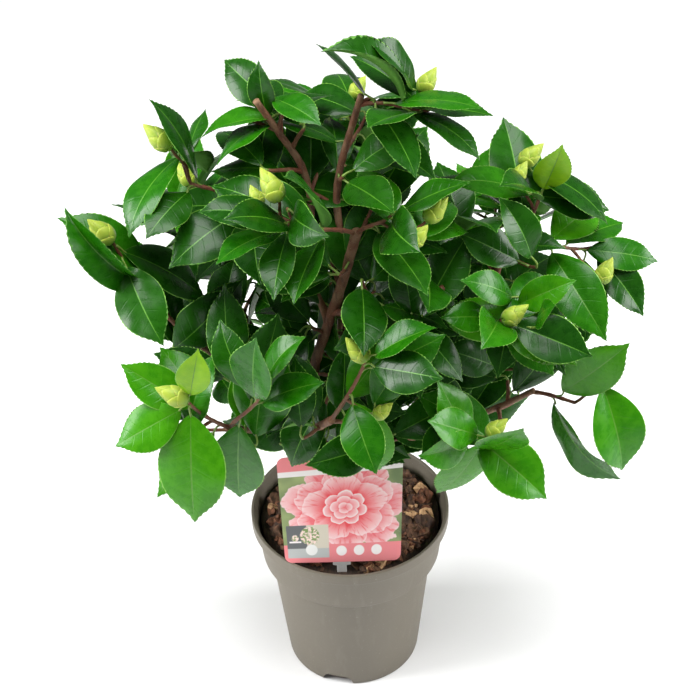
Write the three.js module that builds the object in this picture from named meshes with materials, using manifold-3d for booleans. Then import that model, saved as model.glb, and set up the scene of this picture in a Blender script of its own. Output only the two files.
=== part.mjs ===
// A potted camellia shrub: nursery pot, bark compost, plant label, woody limbs and
// the masses of foliage that fill its crown. Millimetres, +Z up. The origin is the
// centre of the pot's flat underside, and the front of the plant faces -Y.
import * as THREE from 'three';
import { mergeVertices } from 'three/addons/utils/BufferGeometryUtils.js';
import Module from 'manifold-3d';

const wasm = await Module();
wasm.setup();

// ---------------------------------------------------------------- driving dimensions

const GAP = 0.35; // clearance between neighbouring solids
const FOLIAGE_GAP = 0.7; // radial clearance between two masses, which meet at a slant

const POT = {
  height: 145,
  rimRadius: 75,
  lipHeight: 9,
  wall: 1.8,
  collarTopRadius: 71.6,
  collarFootRadius: 68.2,
  collarDrop: 40, // from the rim down to the collar's lower edge
  bodyTopRadius: 62.4,
  footRadius: 51.8,
  footBevel: 1.6,
  floor: 3,
  sides: 32,
};

const NOTCH = { count: 3, width: 22, height: 7, depth: 9, firstBearing: -106 };

const COMPOST = { depthBelowRim: 9.5, heave: 2.2, rings: 4, sides: 18, flatRadius: 20 };

const LABEL = {
  foot: new THREE.Vector3(-7, -59, 146),
  bottomWidth: 84,
  topWidth: 91,
  leftHeight: 82,
  rightHeight: 89,
  corner: 5,
  thickness: 0.8,
  lean: 20, // degrees back from upright
  twist: -0.7,
};

const STICK = { width: 7, thickness: 1.4, bottom: 118, clipWidth: 13, clipHeight: 4 };

const LIMB_SIDES = 6;
const LIMB_STEPS = 1.25; // steps for each stretch between two turning points
const MASS_DETAIL = 3; // a mass is an icosahedron with its edges split this many times
const BACK_DETAIL = 2; // the same for the rounder masses at the back
const FULLNESS = 1.07; // how far each mass swells past its stated radii, so the crown closes up

// Height of the level compost round the stem, where the trunk is cut off flat.
const groundZ = POT.height - COMPOST.depthBelowRim;

// The trunk and the boughs, each one tapering limb through a few turning points, with its
// radius at either end. `endsIn` names the mass where a bough stops as it enters it;
// bough_top and bough_top_left were pruned, and end in a bare tip.
const TRUNK = {
  name: 'trunk',
  path: [[-8, 6, groundZ + GAP], [-10, 4, 162], [-13, 2, 192]],
  radii: [12, 6.4, 5.6], // at the root flare, the neck and the fork
};

const BOUGHS = [
  {
    name: 'bough_leader',
    from: 4.2,
    to: 2.2,
    endsIn: 'foliage_centre',
    path: [
      [-13, 1, 194], [-25, -4, 250], [-21, -5, 288], [-9, -6, 328],
      [3, -10, 372], [9, -18, 402], [15, -38, 432], [22, -56, 452],
    ],
  },
  {
    name: 'bough_top',
    from: 2.7,
    to: 2.2,
    path: [
      [4, -6, 368], [-1, 2, 395], [-2, 5, 427], [5, 6, 456],
      [15, 5, 492],
    ],
  },
  {
    name: 'bough_top_left',
    from: 2.8,
    to: 2.1,
    path: [
      [-12, -5, 326], [-18, 0, 345], [-22, 3, 385], [-20, 6, 428],
      [-34, 4, 460], [-51, 0, 493],
    ],
  },
  {
    name: 'bough_left_upper',
    from: 2.5,
    to: 1.8,
    endsIn: 'foliage_left_upper',
    path: [
      [-22, 2, 372], [-40, 8, 392], [-64, 10, 412], [-92, 8, 436],
    ],
  },
  {
    name: 'bough_left',
    from: 2.9,
    to: 1.9,
    endsIn: 'foliage_left',
    path: [
      [-22, -3, 240], [-52, -8, 270], [-92, -15, 306], [-128, -20, 350],
    ],
  },
  {
    name: 'bough_left_low',
    from: 2.9,
    to: 1.9,
    endsIn: 'foliage_left_low',
    path: [
      [-14, 0, 196], [-46, -26, 240], [-80, -64, 280], [-104, -82, 312],
    ],
  },
  {
    name: 'bough_front',
    from: 2.8,
    to: 1.9,
    endsIn: 'foliage_front',
    path: [
      [-14, -4, 198], [-22, -22, 238], [-20, -50, 266], [-12, -76, 294],
      [8, -96, 322], [24, -108, 350],
    ],
  },
  {
    name: 'bough_front_right',
    from: 2.8,
    to: 1.8,
    endsIn: 'foliage_front_right',
    path: [
      [-8, -2, 194], [6, -14, 216], [28, -38, 244], [52, -74, 276],
      [84, -92, 302], [100, -100, 314],
    ],
  },
  {
    name: 'bough_right_low',
    from: 2.9,
    to: 1.8,
    endsIn: 'foliage_right_low',
    path: [
      [-4, 2, 194], [46, -16, 228], [96, -34, 262], [138, -48, 298],
      [168, -56, 322],
    ],
  },
  {
    name: 'bough_right',
    from: 3.0,
    to: 2.5,
    endsIn: 'foliage_right_middle',
    path: [
      [-7, 6, 200], [36, 6, 240], [72, -8, 280], [90, -18, 306],
      [96, -20, 330],
    ],
  },
  {
    name: 'bough_right_upper',
    from: 2.4,
    to: 1.9,
    endsIn: 'foliage_right_upper',
    path: [
      [102, -14, 372], [112, -14, 386], [124, -13, 402], [132, -8, 416],
    ],
  },
  {
    name: 'bough_inner_right',
    from: 2.4,
    to: 1.8,
    endsIn: 'foliage_right_middle',
    path: [
      [-3, -12, 336], [18, -28, 346], [44, -40, 363], [68, -46, 380],
      [92, -52, 384],
    ],
  },
  {
    name: 'bough_back',
    from: 3.2,
    to: 2.1,
    endsIn: 'foliage_back',
    path: [
      [-10, 8, 200], [-4, 46, 262], [0, 80, 330], [0, 100, 390],
    ],
  },
  {
    name: 'bough_back_left',
    from: 2.8,
    to: 1.9,
    endsIn: 'foliage_back_left',
    path: [
      [-14, 8, 194], [-46, 42, 240], [-84, 74, 290], [-102, 92, 330],
    ],
  },
  {
    name: 'bough_back_right',
    from: 2.8,
    to: 1.9,
    endsIn: 'foliage_back_right',
    path: [
      [-6, 10, 196], [36, 44, 240], [80, 76, 290], [106, 92, 330],
    ],
  },
];

// The masses of foliage. Each is a rough ellipsoid about `centre` that reaches out to
// the tips of its longest sprays, so that no two have the same outline.
const MASSES = [
  { name: 'foliage_top', centre: [40, 2, 476], radii: [50, 44, 34],
    tips: [[-10, -4, 527], [26, 2, 526], [97, 0, 489], [72, 40, 500], [20, -40, 462]] },
  { name: 'foliage_top_left', centre: [-42, 14, 474], radii: [44, 42, 32],
    tips: [[-48, 10, 516], [-76, 2, 486], [-30, 50, 500], [-10, -22, 486]] },
  { name: 'foliage_centre', centre: [38, -52, 432], radii: [46, 44, 36],
    tips: [[24, -62, 468], [84, -60, 436], [0, -80, 420], [52, -96, 408]] },
  { name: 'foliage_centre_left', centre: [-34, -46, 434], radii: [46, 46, 38],
    tips: [[-34, -70, 480], [-84, -52, 440], [-46, -98, 430], [-4, -86, 402]] },
  { name: 'foliage_left_upper', centre: [-102, 6, 438], radii: [32, 40, 36],
    tips: [[-119, 10, 491], [-128, 0, 458], [-142, -10, 424], [-136, -30, 412], [-90, 44, 470]] },
  { name: 'foliage_left', centre: [-124, -22, 368], radii: [40, 46, 36],
    tips: [[-176, -20, 432], [-152, -40, 370], [-140, -60, 344], [-160, 20, 350]] },
  { name: 'foliage_left_low', centre: [-112, -76, 304], radii: [36, 36, 40],
    tips: [[-148, -80, 332], [-153, -90, 289], [-104, -106, 233], [-84, -108, 366]] },
  { name: 'foliage_front_left', centre: [-54, -84, 332], radii: [34, 36, 50],
    tips: [[-40, -116, 290], [-77, -60, 212], [-56, -118, 372], [-24, -100, 330]] },
  { name: 'foliage_front', centre: [16, -90, 352], radii: [42, 36, 48],
    tips: [[21, -84, 256], [46, -130, 372], [-16, -104, 318], [58, -104, 332]] },
  { name: 'foliage_front_right', centre: [84, -82, 286], radii: [44, 36, 36],
    tips: [[95, -102, 232], [60, -76, 226], [133, -100, 240], [112, -116, 318]] },
  { name: 'foliage_right_low', centre: [162, -54, 296], radii: [32, 36, 36],
    tips: [[187, -75, 241], [202, -60, 281], [186, -62, 342], [150, -90, 292]] },
  { name: 'foliage_right_middle', centre: [108, -54, 362], radii: [44, 42, 40],
    tips: [[150, -78, 336], [84, -104, 372], [132, -86, 392], [70, -84, 350]] },
  { name: 'foliage_right', centre: [166, -10, 358], radii: [34, 42, 38],
    tips: [[213, 0, 362], [203, -32, 360], [172, -62, 339], [176, 40, 384]] },
  { name: 'foliage_right_upper', centre: [112, 4, 426], radii: [42, 44, 32],
    tips: [[176, 0, 380], [154, 2, 424], [117, 0, 456], [142, -24, 434], [110, 54, 446]] },
  { name: 'foliage_back', detail: BACK_DETAIL, centre: [2, 100, 404], radii: [56, 48, 52],
    tips: [[-10, 166, 418], [30, 112, 478], [46, 150, 380], [-50, 116, 448]] },
  { name: 'foliage_back_left', detail: BACK_DETAIL, centre: [-100, 88, 350], radii: [52, 48, 54],
    tips: [[-168, 94, 360], [-118, 152, 330], [-106, 90, 430], [-138, 106, 270]] },
  { name: 'foliage_back_right', detail: BACK_DETAIL, centre: [106, 88, 348], radii: [52, 48, 54],
    tips: [[178, 92, 350], [122, 152, 330], [110, 90, 426], [148, 104, 268]] },
  { name: 'foliage_back_low', detail: BACK_DETAIL, centre: [2, 100, 290], radii: [54, 40, 40],
    tips: [[-34, 138, 236], [36, 146, 250], [0, 160, 310]] },
];

// ---------------------------------------------------------------- finishes

const finish = (color, roughness, metalness = 0) =>
  new THREE.MeshStandardMaterial({ color, roughness, metalness });

const FINISH = {
  pot: finish(0x847c70, 0.6),
  compost: finish(0x4a3022, 0.95),
  bark: finish(0x6b4a36, 0.8),
  leaf: finish(0x2f6b2a, 0.4),
  label: finish(0xe98b9c, 0.35),
  clear: finish(0xd9d6d2, 0.25),
};

// ---------------------------------------------------------------- booleans

// A closed geometry as a manifold solid, with its shared corners merged.
function solidOf(geometry) {
  const bare = geometry.clone();
  bare.deleteAttribute('normal');
  bare.deleteAttribute('uv');
  const merged = mergeVertices(bare, 1e-4);
  return new wasm.Manifold(new wasm.Mesh({
    numProp: 3,
    vertProperties: merged.attributes.position.array,
    triVerts: new Uint32Array(merged.index.array),
  }));
}

// A manifold solid back as a geometry.
function geometryOf(solid) {
  const mesh = solid.getMesh();
  const geometry = new THREE.BufferGeometry();
  geometry.setAttribute('position', new THREE.BufferAttribute(mesh.vertProperties, 3));
  geometry.setIndex(new THREE.BufferAttribute(mesh.triVerts, 1));
  geometry.computeVertexNormals();
  return geometry;
}

// The piece with the largest volume, where a cut has left some offcuts.
function largestPiece(solid) {
  return solid.decompose().reduce((best, piece) => (piece.volume() > best.volume() ? piece : best));
}

// What is left of `solid` once every keep-out solid is taken away from it.
function cutRound(solid, keepOuts) {
  return keepOuts.reduce((rest, keepOut) => rest.subtract(keepOut), solid);
}

function mesh(name, geometry, material) {
  const piece = new THREE.Mesh(geometry, material);
  piece.name = name;
  return piece;
}

// ---------------------------------------------------------------- pot, compost, label

// A lathed solid about the Z axis from [radius, z] pairs.
function turned(profile, sides) {
  const geometry = new THREE.LatheGeometry(profile.map(([r, z]) => new THREE.Vector2(r, z)), sides);
  return geometry.rotateX(Math.PI / 2);
}

// Inner face of the pot at a height, from the wall of the body or of the collar.
function potInside() {
  const collarFoot = POT.height - POT.collarDrop;
  return [
    [POT.footRadius - POT.wall, POT.floor],
    [POT.bodyTopRadius - POT.wall, collarFoot - 1],
    [POT.collarFootRadius - POT.wall, collarFoot + POT.wall],
    [POT.collarTopRadius - POT.wall, POT.height - POT.lipHeight - POT.wall],
    [POT.rimRadius - POT.wall - 0.6, POT.height],
  ];
}

function potSolid() {
  const collarFoot = POT.height - POT.collarDrop;
  const lipFoot = POT.height - POT.lipHeight;
  const outside = [
    [0, 0],
    [POT.footRadius - POT.footBevel, 0],
    [POT.footRadius, POT.footBevel],
    [POT.bodyTopRadius, collarFoot],
    [POT.collarFootRadius - 0.6, collarFoot],
    [POT.collarFootRadius, collarFoot + 0.8],
    [POT.collarTopRadius, lipFoot - 0.6],
    [POT.rimRadius - 0.4, lipFoot],
    [POT.rimRadius, lipFoot + 1],
    [POT.rimRadius, POT.height - 0.8],
    [POT.rimRadius - 0.5, POT.height],
  ];
  const inside = potInside().reverse();
  let pot = solidOf(turned([...outside, ...inside, [0, POT.floor]], POT.sides));
  for (let i = 0; i < NOTCH.count; i += 1) {
    const bearing = THREE.MathUtils.degToRad(NOTCH.firstBearing + (360 / NOTCH.count) * i);
    const block = new THREE.BoxGeometry(NOTCH.depth * 2, NOTCH.width, NOTCH.height * 2);
    block.translate(POT.footRadius, 0, 0).rotateZ(bearing);
    pot = pot.subtract(solidOf(block));
  }
  return pot;
}

// Gentle heave of the compost's surface, level where the trunk stands.
function compostHeave(x, y) {
  const reach = THREE.MathUtils.smoothstep(Math.hypot(x, y), COMPOST.flatRadius, COMPOST.flatRadius * 2);
  return reach * COMPOST.heave * 0.5 * (Math.sin(x * 0.11 + 1.3) + Math.cos(y * 0.13 + x * 0.05));
}

function compostSolid() {
  const [floorRim, bodyTop, collarFoot, collarTop] = potInside();
  const surfaceRadius = THREE.MathUtils.mapLinear(
    groundZ, collarFoot[1], collarTop[1], collarFoot[0], collarTop[0]) - GAP * 2;
  const profile = [
    [0, POT.floor + GAP],
    [floorRim[0] - GAP, POT.floor + GAP],
    [bodyTop[0] - GAP, bodyTop[1]],
    [collarFoot[0] - GAP * 2, collarFoot[1] + GAP],
    [surfaceRadius, groundZ - 3],
  ];
  for (let i = COMPOST.rings; i >= 0; i -= 1) profile.push([(surfaceRadius * i) / COMPOST.rings, groundZ]);
  const geometry = turned(profile, COMPOST.sides);
    const place = geometry.attributes.position;
  for (let i = 0; i < place.count; i += 1) {
    if (place.getZ(i) > groundZ - 1) place.setZ(i, groundZ + compostHeave(place.getX(i), place.getY(i)));
  }
  return solidOf(geometry);
}

// The label's face: a quadrilateral with rounded corners, foot at the origin.
function labelShape(grow = 0) {
  const corners = [
    [-LABEL.bottomWidth / 2 - grow, -grow],
    [LABEL.bottomWidth / 2 + grow, -grow],
    [LABEL.topWidth / 2 + grow, LABEL.rightHeight + grow],
    [-LABEL.topWidth / 2 - grow, LABEL.leftHeight + grow],
  ].map(([x, y]) => new THREE.Vector2(x, y));
  const shape = new THREE.Shape();
  corners.forEach((corner, i) => {
    const before = corners[(i + 3) % 4];
    const after = corners[(i + 1) % 4];
    const start = corner.clone().add(before.clone().sub(corner).setLength(LABEL.corner));
    const end = corner.clone().add(after.clone().sub(corner).setLength(LABEL.corner));
    if (i === 0) shape.moveTo(start.x, start.y);
    else shape.lineTo(start.x, start.y);
    shape.quadraticCurveTo(corner.x, corner.y, end.x, end.y);
  });
  shape.closePath();
  return shape;
}

// A flat plate of the given shape, stood up, leaned back and put in its place.
function leaned(shape, thickness, offset = 0) {
  const plate = new THREE.ExtrudeGeometry(shape, { depth: thickness, bevelEnabled: false, curveSegments: 4 });
  plate.translate(0, 0, offset - thickness / 2).rotateX(Math.PI / 2);
  plate.rotateY(THREE.MathUtils.degToRad(-LABEL.twist));
  plate.rotateX(-THREE.MathUtils.degToRad(LABEL.lean));
  return plate.translate(LABEL.foot.x, LABEL.foot.y, LABEL.foot.z);
}

function labelSolid(grow = 0) {
  return solidOf(leaned(labelShape(grow), LABEL.thickness + grow * 2));
}

// The clear stick: a clip across the label's foot and a blade down into the compost.
function stickSolid(grow = 0) {
  const blade = new THREE.BoxGeometry(
    STICK.width + grow * 2, STICK.thickness + grow * 2, LABEL.foot.z - STICK.bottom + grow);
  blade.translate(LABEL.foot.x, LABEL.foot.y, (LABEL.foot.z + STICK.bottom - GAP) / 2);
  const clip = new THREE.BoxGeometry(
    STICK.clipWidth + grow * 2, STICK.thickness * 2 + grow * 2, STICK.clipHeight + grow);
  clip.translate(LABEL.foot.x, LABEL.foot.y, LABEL.foot.z - STICK.clipHeight / 2 - GAP);
  return solidOf(blade).add(solidOf(clip));
}

// ---------------------------------------------------------------- limbs

// A closed tube through the path's points, whose radius follows `radiusAt(t)`.
function limb(points, radiusAt, segments) {
  const curve = new THREE.CatmullRomCurve3(points.map((p) => new THREE.Vector3(...p)));
  const section = new THREE.Shape();
  for (let i = 0; i < LIMB_SIDES; i += 1) {
    const angle = (Math.PI * 2 * i) / LIMB_SIDES;
    if (i === 0) section.moveTo(Math.cos(angle), Math.sin(angle));
    else section.lineTo(Math.cos(angle), Math.sin(angle));
  }
  section.closePath();
  const along = { steps: segments, extrudePath: curve, bevelEnabled: false };
  const tube = new THREE.ExtrudeGeometry(section, along);
  // The extruded section has radius 1, so each corner moves out along its own spoke.
  const stations = Array.from({ length: segments + 1 }, (_, i) => curve.getPointAt(i / segments));
  const place = tube.attributes.position;
  const corner = new THREE.Vector3();
  for (let i = 0; i < place.count; i += 1) {
    corner.fromBufferAttribute(place, i);
    const distances = stations.map((station) => Math.abs(station.distanceTo(corner) - 1));
    const nearest = distances.indexOf(Math.min(...distances));
    const station = stations[nearest];
    corner.sub(station).multiplyScalar(radiusAt(nearest / segments)).add(station);
    place.setXYZ(i, corner.x, corner.y, corner.z);
  }
  return solidOf(tube);
}

function boughSolid(bough, grow = 0) {
  const radiusAt = (t) => THREE.MathUtils.lerp(bough.from, bough.to, t) + grow;
  return limb(bough.path, radiusAt, Math.round((bough.path.length - 1) * LIMB_STEPS));
}

// The trunk flares at its root and is cut off flat where it meets the compost.
function trunkSolid(grow = 0) {
  const [root, neck, fork] = TRUNK.radii;
  const radiusAt = (t) => (t < 0.5
    ? THREE.MathUtils.lerp(root, neck, Math.sqrt(t * 2))
    : THREE.MathUtils.lerp(neck, fork, t * 2 - 1)) + grow;
  const stem = limb(TRUNK.path, radiusAt, 6);
  const below = new THREE.BoxGeometry(100, 100, 40);
  below.translate(0, 0, groundZ + GAP - 20 - grow);
  return stem.subtract(solidOf(below));
}

// ---------------------------------------------------------------- foliage

// Slow, uneven swelling of a mass's surface in a direction, between about -1 and 1.
function swelling(direction, seed) {
  const { x, y, z } = direction;
  return 0.4 * Math.sin(3.1 * x + 2.3 * y + seed)
    + 0.35 * Math.sin(4.3 * y - 3.7 * z + seed * 2.1)
    + 0.25 * Math.cos(5.9 * z + 4.1 * x - seed * 1.3);
}

function massSolid(mass, index, grow = 0) {
  const centre = new THREE.Vector3(...mass.centre);
  const radii = new THREE.Vector3(...mass.radii).multiplyScalar(FULLNESS);
  const ellipsoidRadius = (d) => 1 / Math.hypot(d.x / radii.x, d.y / radii.y, d.z / radii.z);
  const spurs = mass.tips.map((tip) => {
    const way = new THREE.Vector3(...tip).sub(centre);
    const reach = way.length();
    way.normalize();
    return { way, extra: Math.max(0, reach - ellipsoidRadius(way)) };
  });
  const ball = mergeVertices(bareSphere(mass.detail ?? MASS_DETAIL));
  const place = ball.attributes.position;
  const corners = Array.from({ length: place.count }, (_, i) =>
    new THREE.Vector3().fromBufferAttribute(place, i).normalize());
  // The corner nearest to each spur is turned onto it, so the mass truly reaches its tips.
  spurs.forEach(({ way }) => {
    const closer = (best, corner, i) => (corner.dot(way) > corners[best].dot(way) ? i : best);
    const nearest = corners.reduce(closer, 0);
    corners[nearest].copy(way);
  });
  corners.forEach((corner, i) => {
    let radius = ellipsoidRadius(corner) * (1 + 0.09 * swelling(corner, index));
    spurs.forEach(({ way, extra }) => {
      radius = Math.max(radius, ellipsoidRadius(corner) + extra * Math.exp(9 * (corner.dot(way) - 1)));
    });
    corner.multiplyScalar(radius + grow).add(centre);
    place.setXYZ(i, corner.x, corner.y, corner.z);
  });
  return solidOf(ball);
}

function bareSphere(detail) {
  const sphere = new THREE.IcosahedronGeometry(1, detail);
  sphere.deleteAttribute('normal');
  sphere.deleteAttribute('uv');
  return sphere;
}

// ---------------------------------------------------------------- assembly

const plant = new THREE.Group();

plant.add(mesh('pot', geometryOf(potSolid()), FINISH.pot));
plant.add(mesh('compost', geometryOf(compostSolid().subtract(stickSolid(GAP))), FINISH.compost));

// Each mass is cut back from the ones before it in the list.
const massKeepOuts = MASSES.map((mass, index) => massSolid(mass, index, FOLIAGE_GAP));

const wood = [{ name: TRUNK.name, solid: trunkSolid(), keepOut: trunkSolid(GAP) }];
BOUGHS.forEach((bough) => {
  const ownMass = massKeepOuts.filter((_, i) => MASSES[i].name === bough.endsIn);
  const keepOuts = [...wood.map((piece) => piece.keepOut), ...ownMass];
  wood.push({
    name: bough.name,
    solid: largestPiece(cutRound(boughSolid(bough), keepOuts)),
    keepOut: boughSolid(bough, GAP),
    endsIn: bough.endsIn,
  });
});
wood.forEach((piece) => plant.add(mesh(piece.name, geometryOf(piece.solid), FINISH.bark)));

const furniture = [labelSolid(GAP), stickSolid(GAP)];
MASSES.forEach((mass, index) => {
  const passing = wood.filter((piece) => piece.endsIn !== mass.name).map((piece) => piece.keepOut);
  const keepOuts = [...massKeepOuts.slice(0, index), ...passing, ...furniture];
  const solid = largestPiece(cutRound(massSolid(mass, index), keepOuts));
  plant.add(mesh(mass.name, geometryOf(solid), FINISH.leaf));
});

plant.add(mesh('label', geometryOf(labelSolid()), FINISH.label));
plant.add(mesh('label_stick', geometryOf(stickSolid()), FINISH.clear));

export default plant;
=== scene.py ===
"""A camellia shrub in its nursery pot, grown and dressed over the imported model.

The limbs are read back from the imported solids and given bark. From them a seeded rule
grows shoots into each mass of foliage: the shoots reach for the mass's spurs, and carry
leaves in a spiral that turns to the light, with flower buds at their tips. The pot, the
compost with its bark chips and the picture label are built as finer meshes in the
places of their solids. Metres, +Z up, and the front of the plant faces -Y.
"""

import logging
import math
from dataclasses import dataclass, field
from enum import Enum
from typing import Callable, Dict, Iterable, List, Mapping, Optional, Sequence, Tuple, Union

import bmesh
import bpy
import numpy as np
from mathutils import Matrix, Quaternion, Vector, noise
from mathutils.bvhtree import BVHTree


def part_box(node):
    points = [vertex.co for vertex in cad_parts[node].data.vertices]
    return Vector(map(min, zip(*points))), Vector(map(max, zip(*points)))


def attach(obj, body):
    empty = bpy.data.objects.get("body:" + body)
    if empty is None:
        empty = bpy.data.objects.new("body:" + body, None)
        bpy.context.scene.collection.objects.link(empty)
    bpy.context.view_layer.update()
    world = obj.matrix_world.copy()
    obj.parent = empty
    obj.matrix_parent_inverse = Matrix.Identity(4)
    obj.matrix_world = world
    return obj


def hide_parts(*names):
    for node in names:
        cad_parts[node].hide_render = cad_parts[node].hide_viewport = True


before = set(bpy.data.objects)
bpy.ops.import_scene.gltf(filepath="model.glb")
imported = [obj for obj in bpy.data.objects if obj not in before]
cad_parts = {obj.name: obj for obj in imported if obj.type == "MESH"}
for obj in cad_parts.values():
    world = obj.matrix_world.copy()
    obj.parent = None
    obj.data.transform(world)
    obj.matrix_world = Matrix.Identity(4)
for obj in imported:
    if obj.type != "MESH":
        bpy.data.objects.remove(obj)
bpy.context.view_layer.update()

LOG = logging.getLogger("camellia")
Colour = Tuple[float, float, float]
Array = np.ndarray
Random = np.random.Generator
Piece = bpy.types.Object
Material = bpy.types.Material
Socket = bpy.types.NodeSocket
Number = Union[float, "Field"]

UP = np.array([0.0, 0.0, 1.0])
FRONT = np.array([0.0, -1.0, 0.0])
GOLDEN_TURN = math.radians(137.5)
MM = 0.001


# ---- shader expressions


def operator(operation: str, swapped: bool = False) -> Callable[["Field", Number], "Field"]:
    """The method that joins a field to another value by one Math node."""

    def method(field_: "Field", other: Number) -> "Field":
        """The two values, joined."""
        return field_.shader.math(operation, *((other, field_) if swapped else (field_, other)))

    return method


class Field:
    """A value that changes over a surface: one output socket, used in plain arithmetic."""

    def __init__(self, shader: "Shader", socket: Socket) -> None:
        """Keep the socket and the shader that it belongs to."""
        self.shader = shader
        self.socket = socket

    __add__ = __radd__ = operator("ADD")
    __sub__ = operator("SUBTRACT")
    __rsub__ = operator("SUBTRACT", swapped=True)
    __mul__ = __rmul__ = operator("MULTIPLY")
    __truediv__ = operator("DIVIDE")
    __pow__ = operator("POWER")

    def __abs__(self) -> "Field":
        """Distance of the value from zero."""
        return self.shader.math("ABSOLUTE", self)

    def fraction(self) -> "Field":
        """The part of the value after its decimal point."""
        return self.shader.math("FRACT", self)

    def above(self, edge: float, blur: float) -> "Field":
        """A mask that rises from 0 to 1 across an edge.

        Args:
            edge: The value where the mask is one half.
            blur: Half the width of the rise.

        Returns:
            The mask.
        """
        rise = self.shader.node(
            "ShaderNodeMapRange",
            {"interpolation_type": "SMOOTHSTEP"},
            {"Value": self, "From Min": edge - blur, "From Max": edge + blur},
        )
        return Field(self.shader, rise.outputs["Result"])

    def below(self, edge: float, blur: float) -> "Field":
        """A mask that falls from 1 to 0 across an edge."""
        return 1.0 - self.above(edge, blur)


class Shader:
    """A material with one surface shader, whose nodes are added by expressions."""

    def __init__(self, name: str) -> None:
        """Start a material.

        Args:
            name: Name of the material.
        """
        self.material = bpy.data.materials.new(name)
        self.material.use_nodes = True
        self.tree = self.material.node_tree
        self.surface = self.tree.nodes["Principled BSDF"]

    def node(
        self, kind: str, settings: Mapping[str, object], inputs: Mapping[Union[str, int], object]
    ) -> bpy.types.Node:
        """Add one node: its settings first, then the values or links of its sockets.

        Args:
            kind: Blender's type of the node.
            settings: Attributes of the node; "stops" sets a ramp's (place, colour) pairs.
            inputs: Values, fields or sockets by the socket's name or number.

        Returns:
            The new node.
        """
        made = self.tree.nodes.new(kind)
        for key, value in settings.items():
            if key == "stops":
                ramp = made.color_ramp
                while len(ramp.elements) < len(value):
                    ramp.elements.new(1.0)
                for element, (place, colour) in zip(ramp.elements, value):
                    element.position = place
                    element.color = (*colour, 1.0)
            else:
                setattr(made, key, value)
        for key, value in inputs.items():
            self.feed(made.inputs[key], value)
        return made

    def feed(self, socket: Socket, value: object) -> None:
        """Link a field or a socket to an input, or set its plain value.

        Args:
            socket: The input.
            value: A field, a socket, a number or a colour.
        """
        if isinstance(value, Field):
            self.tree.links.new(value.socket, socket)
        elif isinstance(value, Socket):
            self.tree.links.new(value, socket)
        elif socket.type == "RGBA":
            socket.default_value = (*value, 1.0)
        else:
            socket.default_value = value

    def math(self, operation: str, *values: Number) -> Field:
        """One Math node."""
        made = self.node("ShaderNodeMath", {"operation": operation}, dict(enumerate(values)))
        return Field(self, made.outputs[0])

    def mix(self, factor: Number, low: object, high: object) -> Socket:
        """A colour between two colours.

        Args:
            factor: 0 gives the low colour, and 1 the high one.
            low: Colour or socket.
            high: Colour or socket.

        Returns:
            The colour's socket.
        """
        blend = self.node("ShaderNodeMix", {"data_type": "RGBA"}, {0: factor, 6: low, 7: high})
        return blend.outputs[2]

    def place(self) -> Socket:
        """Position on the piece in metres."""
        return self.node("ShaderNodeTexCoord", {}, {}).outputs["Object"]

    def stretched(self, scale: Sequence[float]) -> Socket:
        """Position on the piece, scaled by axis."""
        scaled = self.node("ShaderNodeVectorMath", {"operation": "MULTIPLY"}, {0: self.place(), 1: scale})
        return scaled.outputs[0]

    def grain(self, scale: float, detail: float = 3.0, where: Optional[Socket] = None) -> Field:
        """Soft noise between about 0 and 1.

        Args:
            scale: Waves to the metre.
            detail: Number of finer layers.
            where: Where it is read, or the position on the piece.

        Returns:
            The noise.
        """
        made = self.node(
            "ShaderNodeTexNoise", {}, {"Vector": where or self.place(), "Scale": scale, "Detail": detail}
        )
        return Field(self, made.outputs["Fac"])

    def attribute(self, name: str) -> List[Field]:
        """The three numbers of a stored attribute."""
        stored = self.node("ShaderNodeAttribute", {"attribute_name": name}, {})
        parts = self.node("ShaderNodeSeparateXYZ", {}, {0: stored.outputs["Vector"]})
        return [Field(self, parts.outputs[axis]) for axis in range(3)]

    def finish(self, colour: object, relief: Optional[Field] = None, depth: float = 0.0,
               **sockets: object) -> None:
        """Set the surface shader.

        Args:
            colour: Base colour or its socket.
            relief: Height of the fine relief, from 0 to 1.
            depth: How deep that relief is, in metres.
            sockets: Other inputs by name, with _ for each space.
        """
        self.feed(self.surface.inputs["Base Color"], colour)
        for name, value in sockets.items():
            self.feed(self.surface.inputs[name.replace("_", " ")], value)
        if relief is not None:
            bump = self.node("ShaderNodeBump", {}, {"Strength": 1.0, "Distance": depth, "Height": relief})
            self.feed(self.surface.inputs["Normal"], bump.outputs["Normal"])


# ---- finishes


@dataclass(frozen=True)
class BladeFinish:
    """The upper or lower face of a leaf: side veins, mottling and a waxy skin."""

    name: str
    shade: Colour
    light: Colour
    roughness: float
    coat: float
    vein: float = 0.16  # how far the side veins pale
    vein_pairs: float = 8.0
    relief: float = 0.00012

    def material(self) -> Material:
        """The material of this face."""
        s = Shader(self.name)
        along, across, chance = s.attribute("blade")
        out = abs(across)
        wave = (along * self.vein_pairs - out * 1.1).fraction()
        line = abs(wave - 0.5).below(0.045, 0.05) * out.below(0.72, 0.25)
        mottle = s.grain(170.0, 4.0).above(0.5, 0.22)
        fine = s.grain(1500.0, 2.0)
        base = s.mix(mottle * 0.45 + chance * 0.4, self.shade, self.light)
        veined = s.mix(line * self.vein + out.below(0.1, 0.1) * self.vein * 0.5, base, self.light)
        s.finish(
            veined,
            relief=line * -0.7 + fine * 0.35,
            depth=self.relief,
            Roughness=fine * 0.1 + mottle * 0.06 + (self.roughness - 0.08),
            Coat_Weight=self.coat,
            Coat_Roughness=0.12,
            Specular_IOR_Level=0.2,
        )
        return s.material


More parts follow.
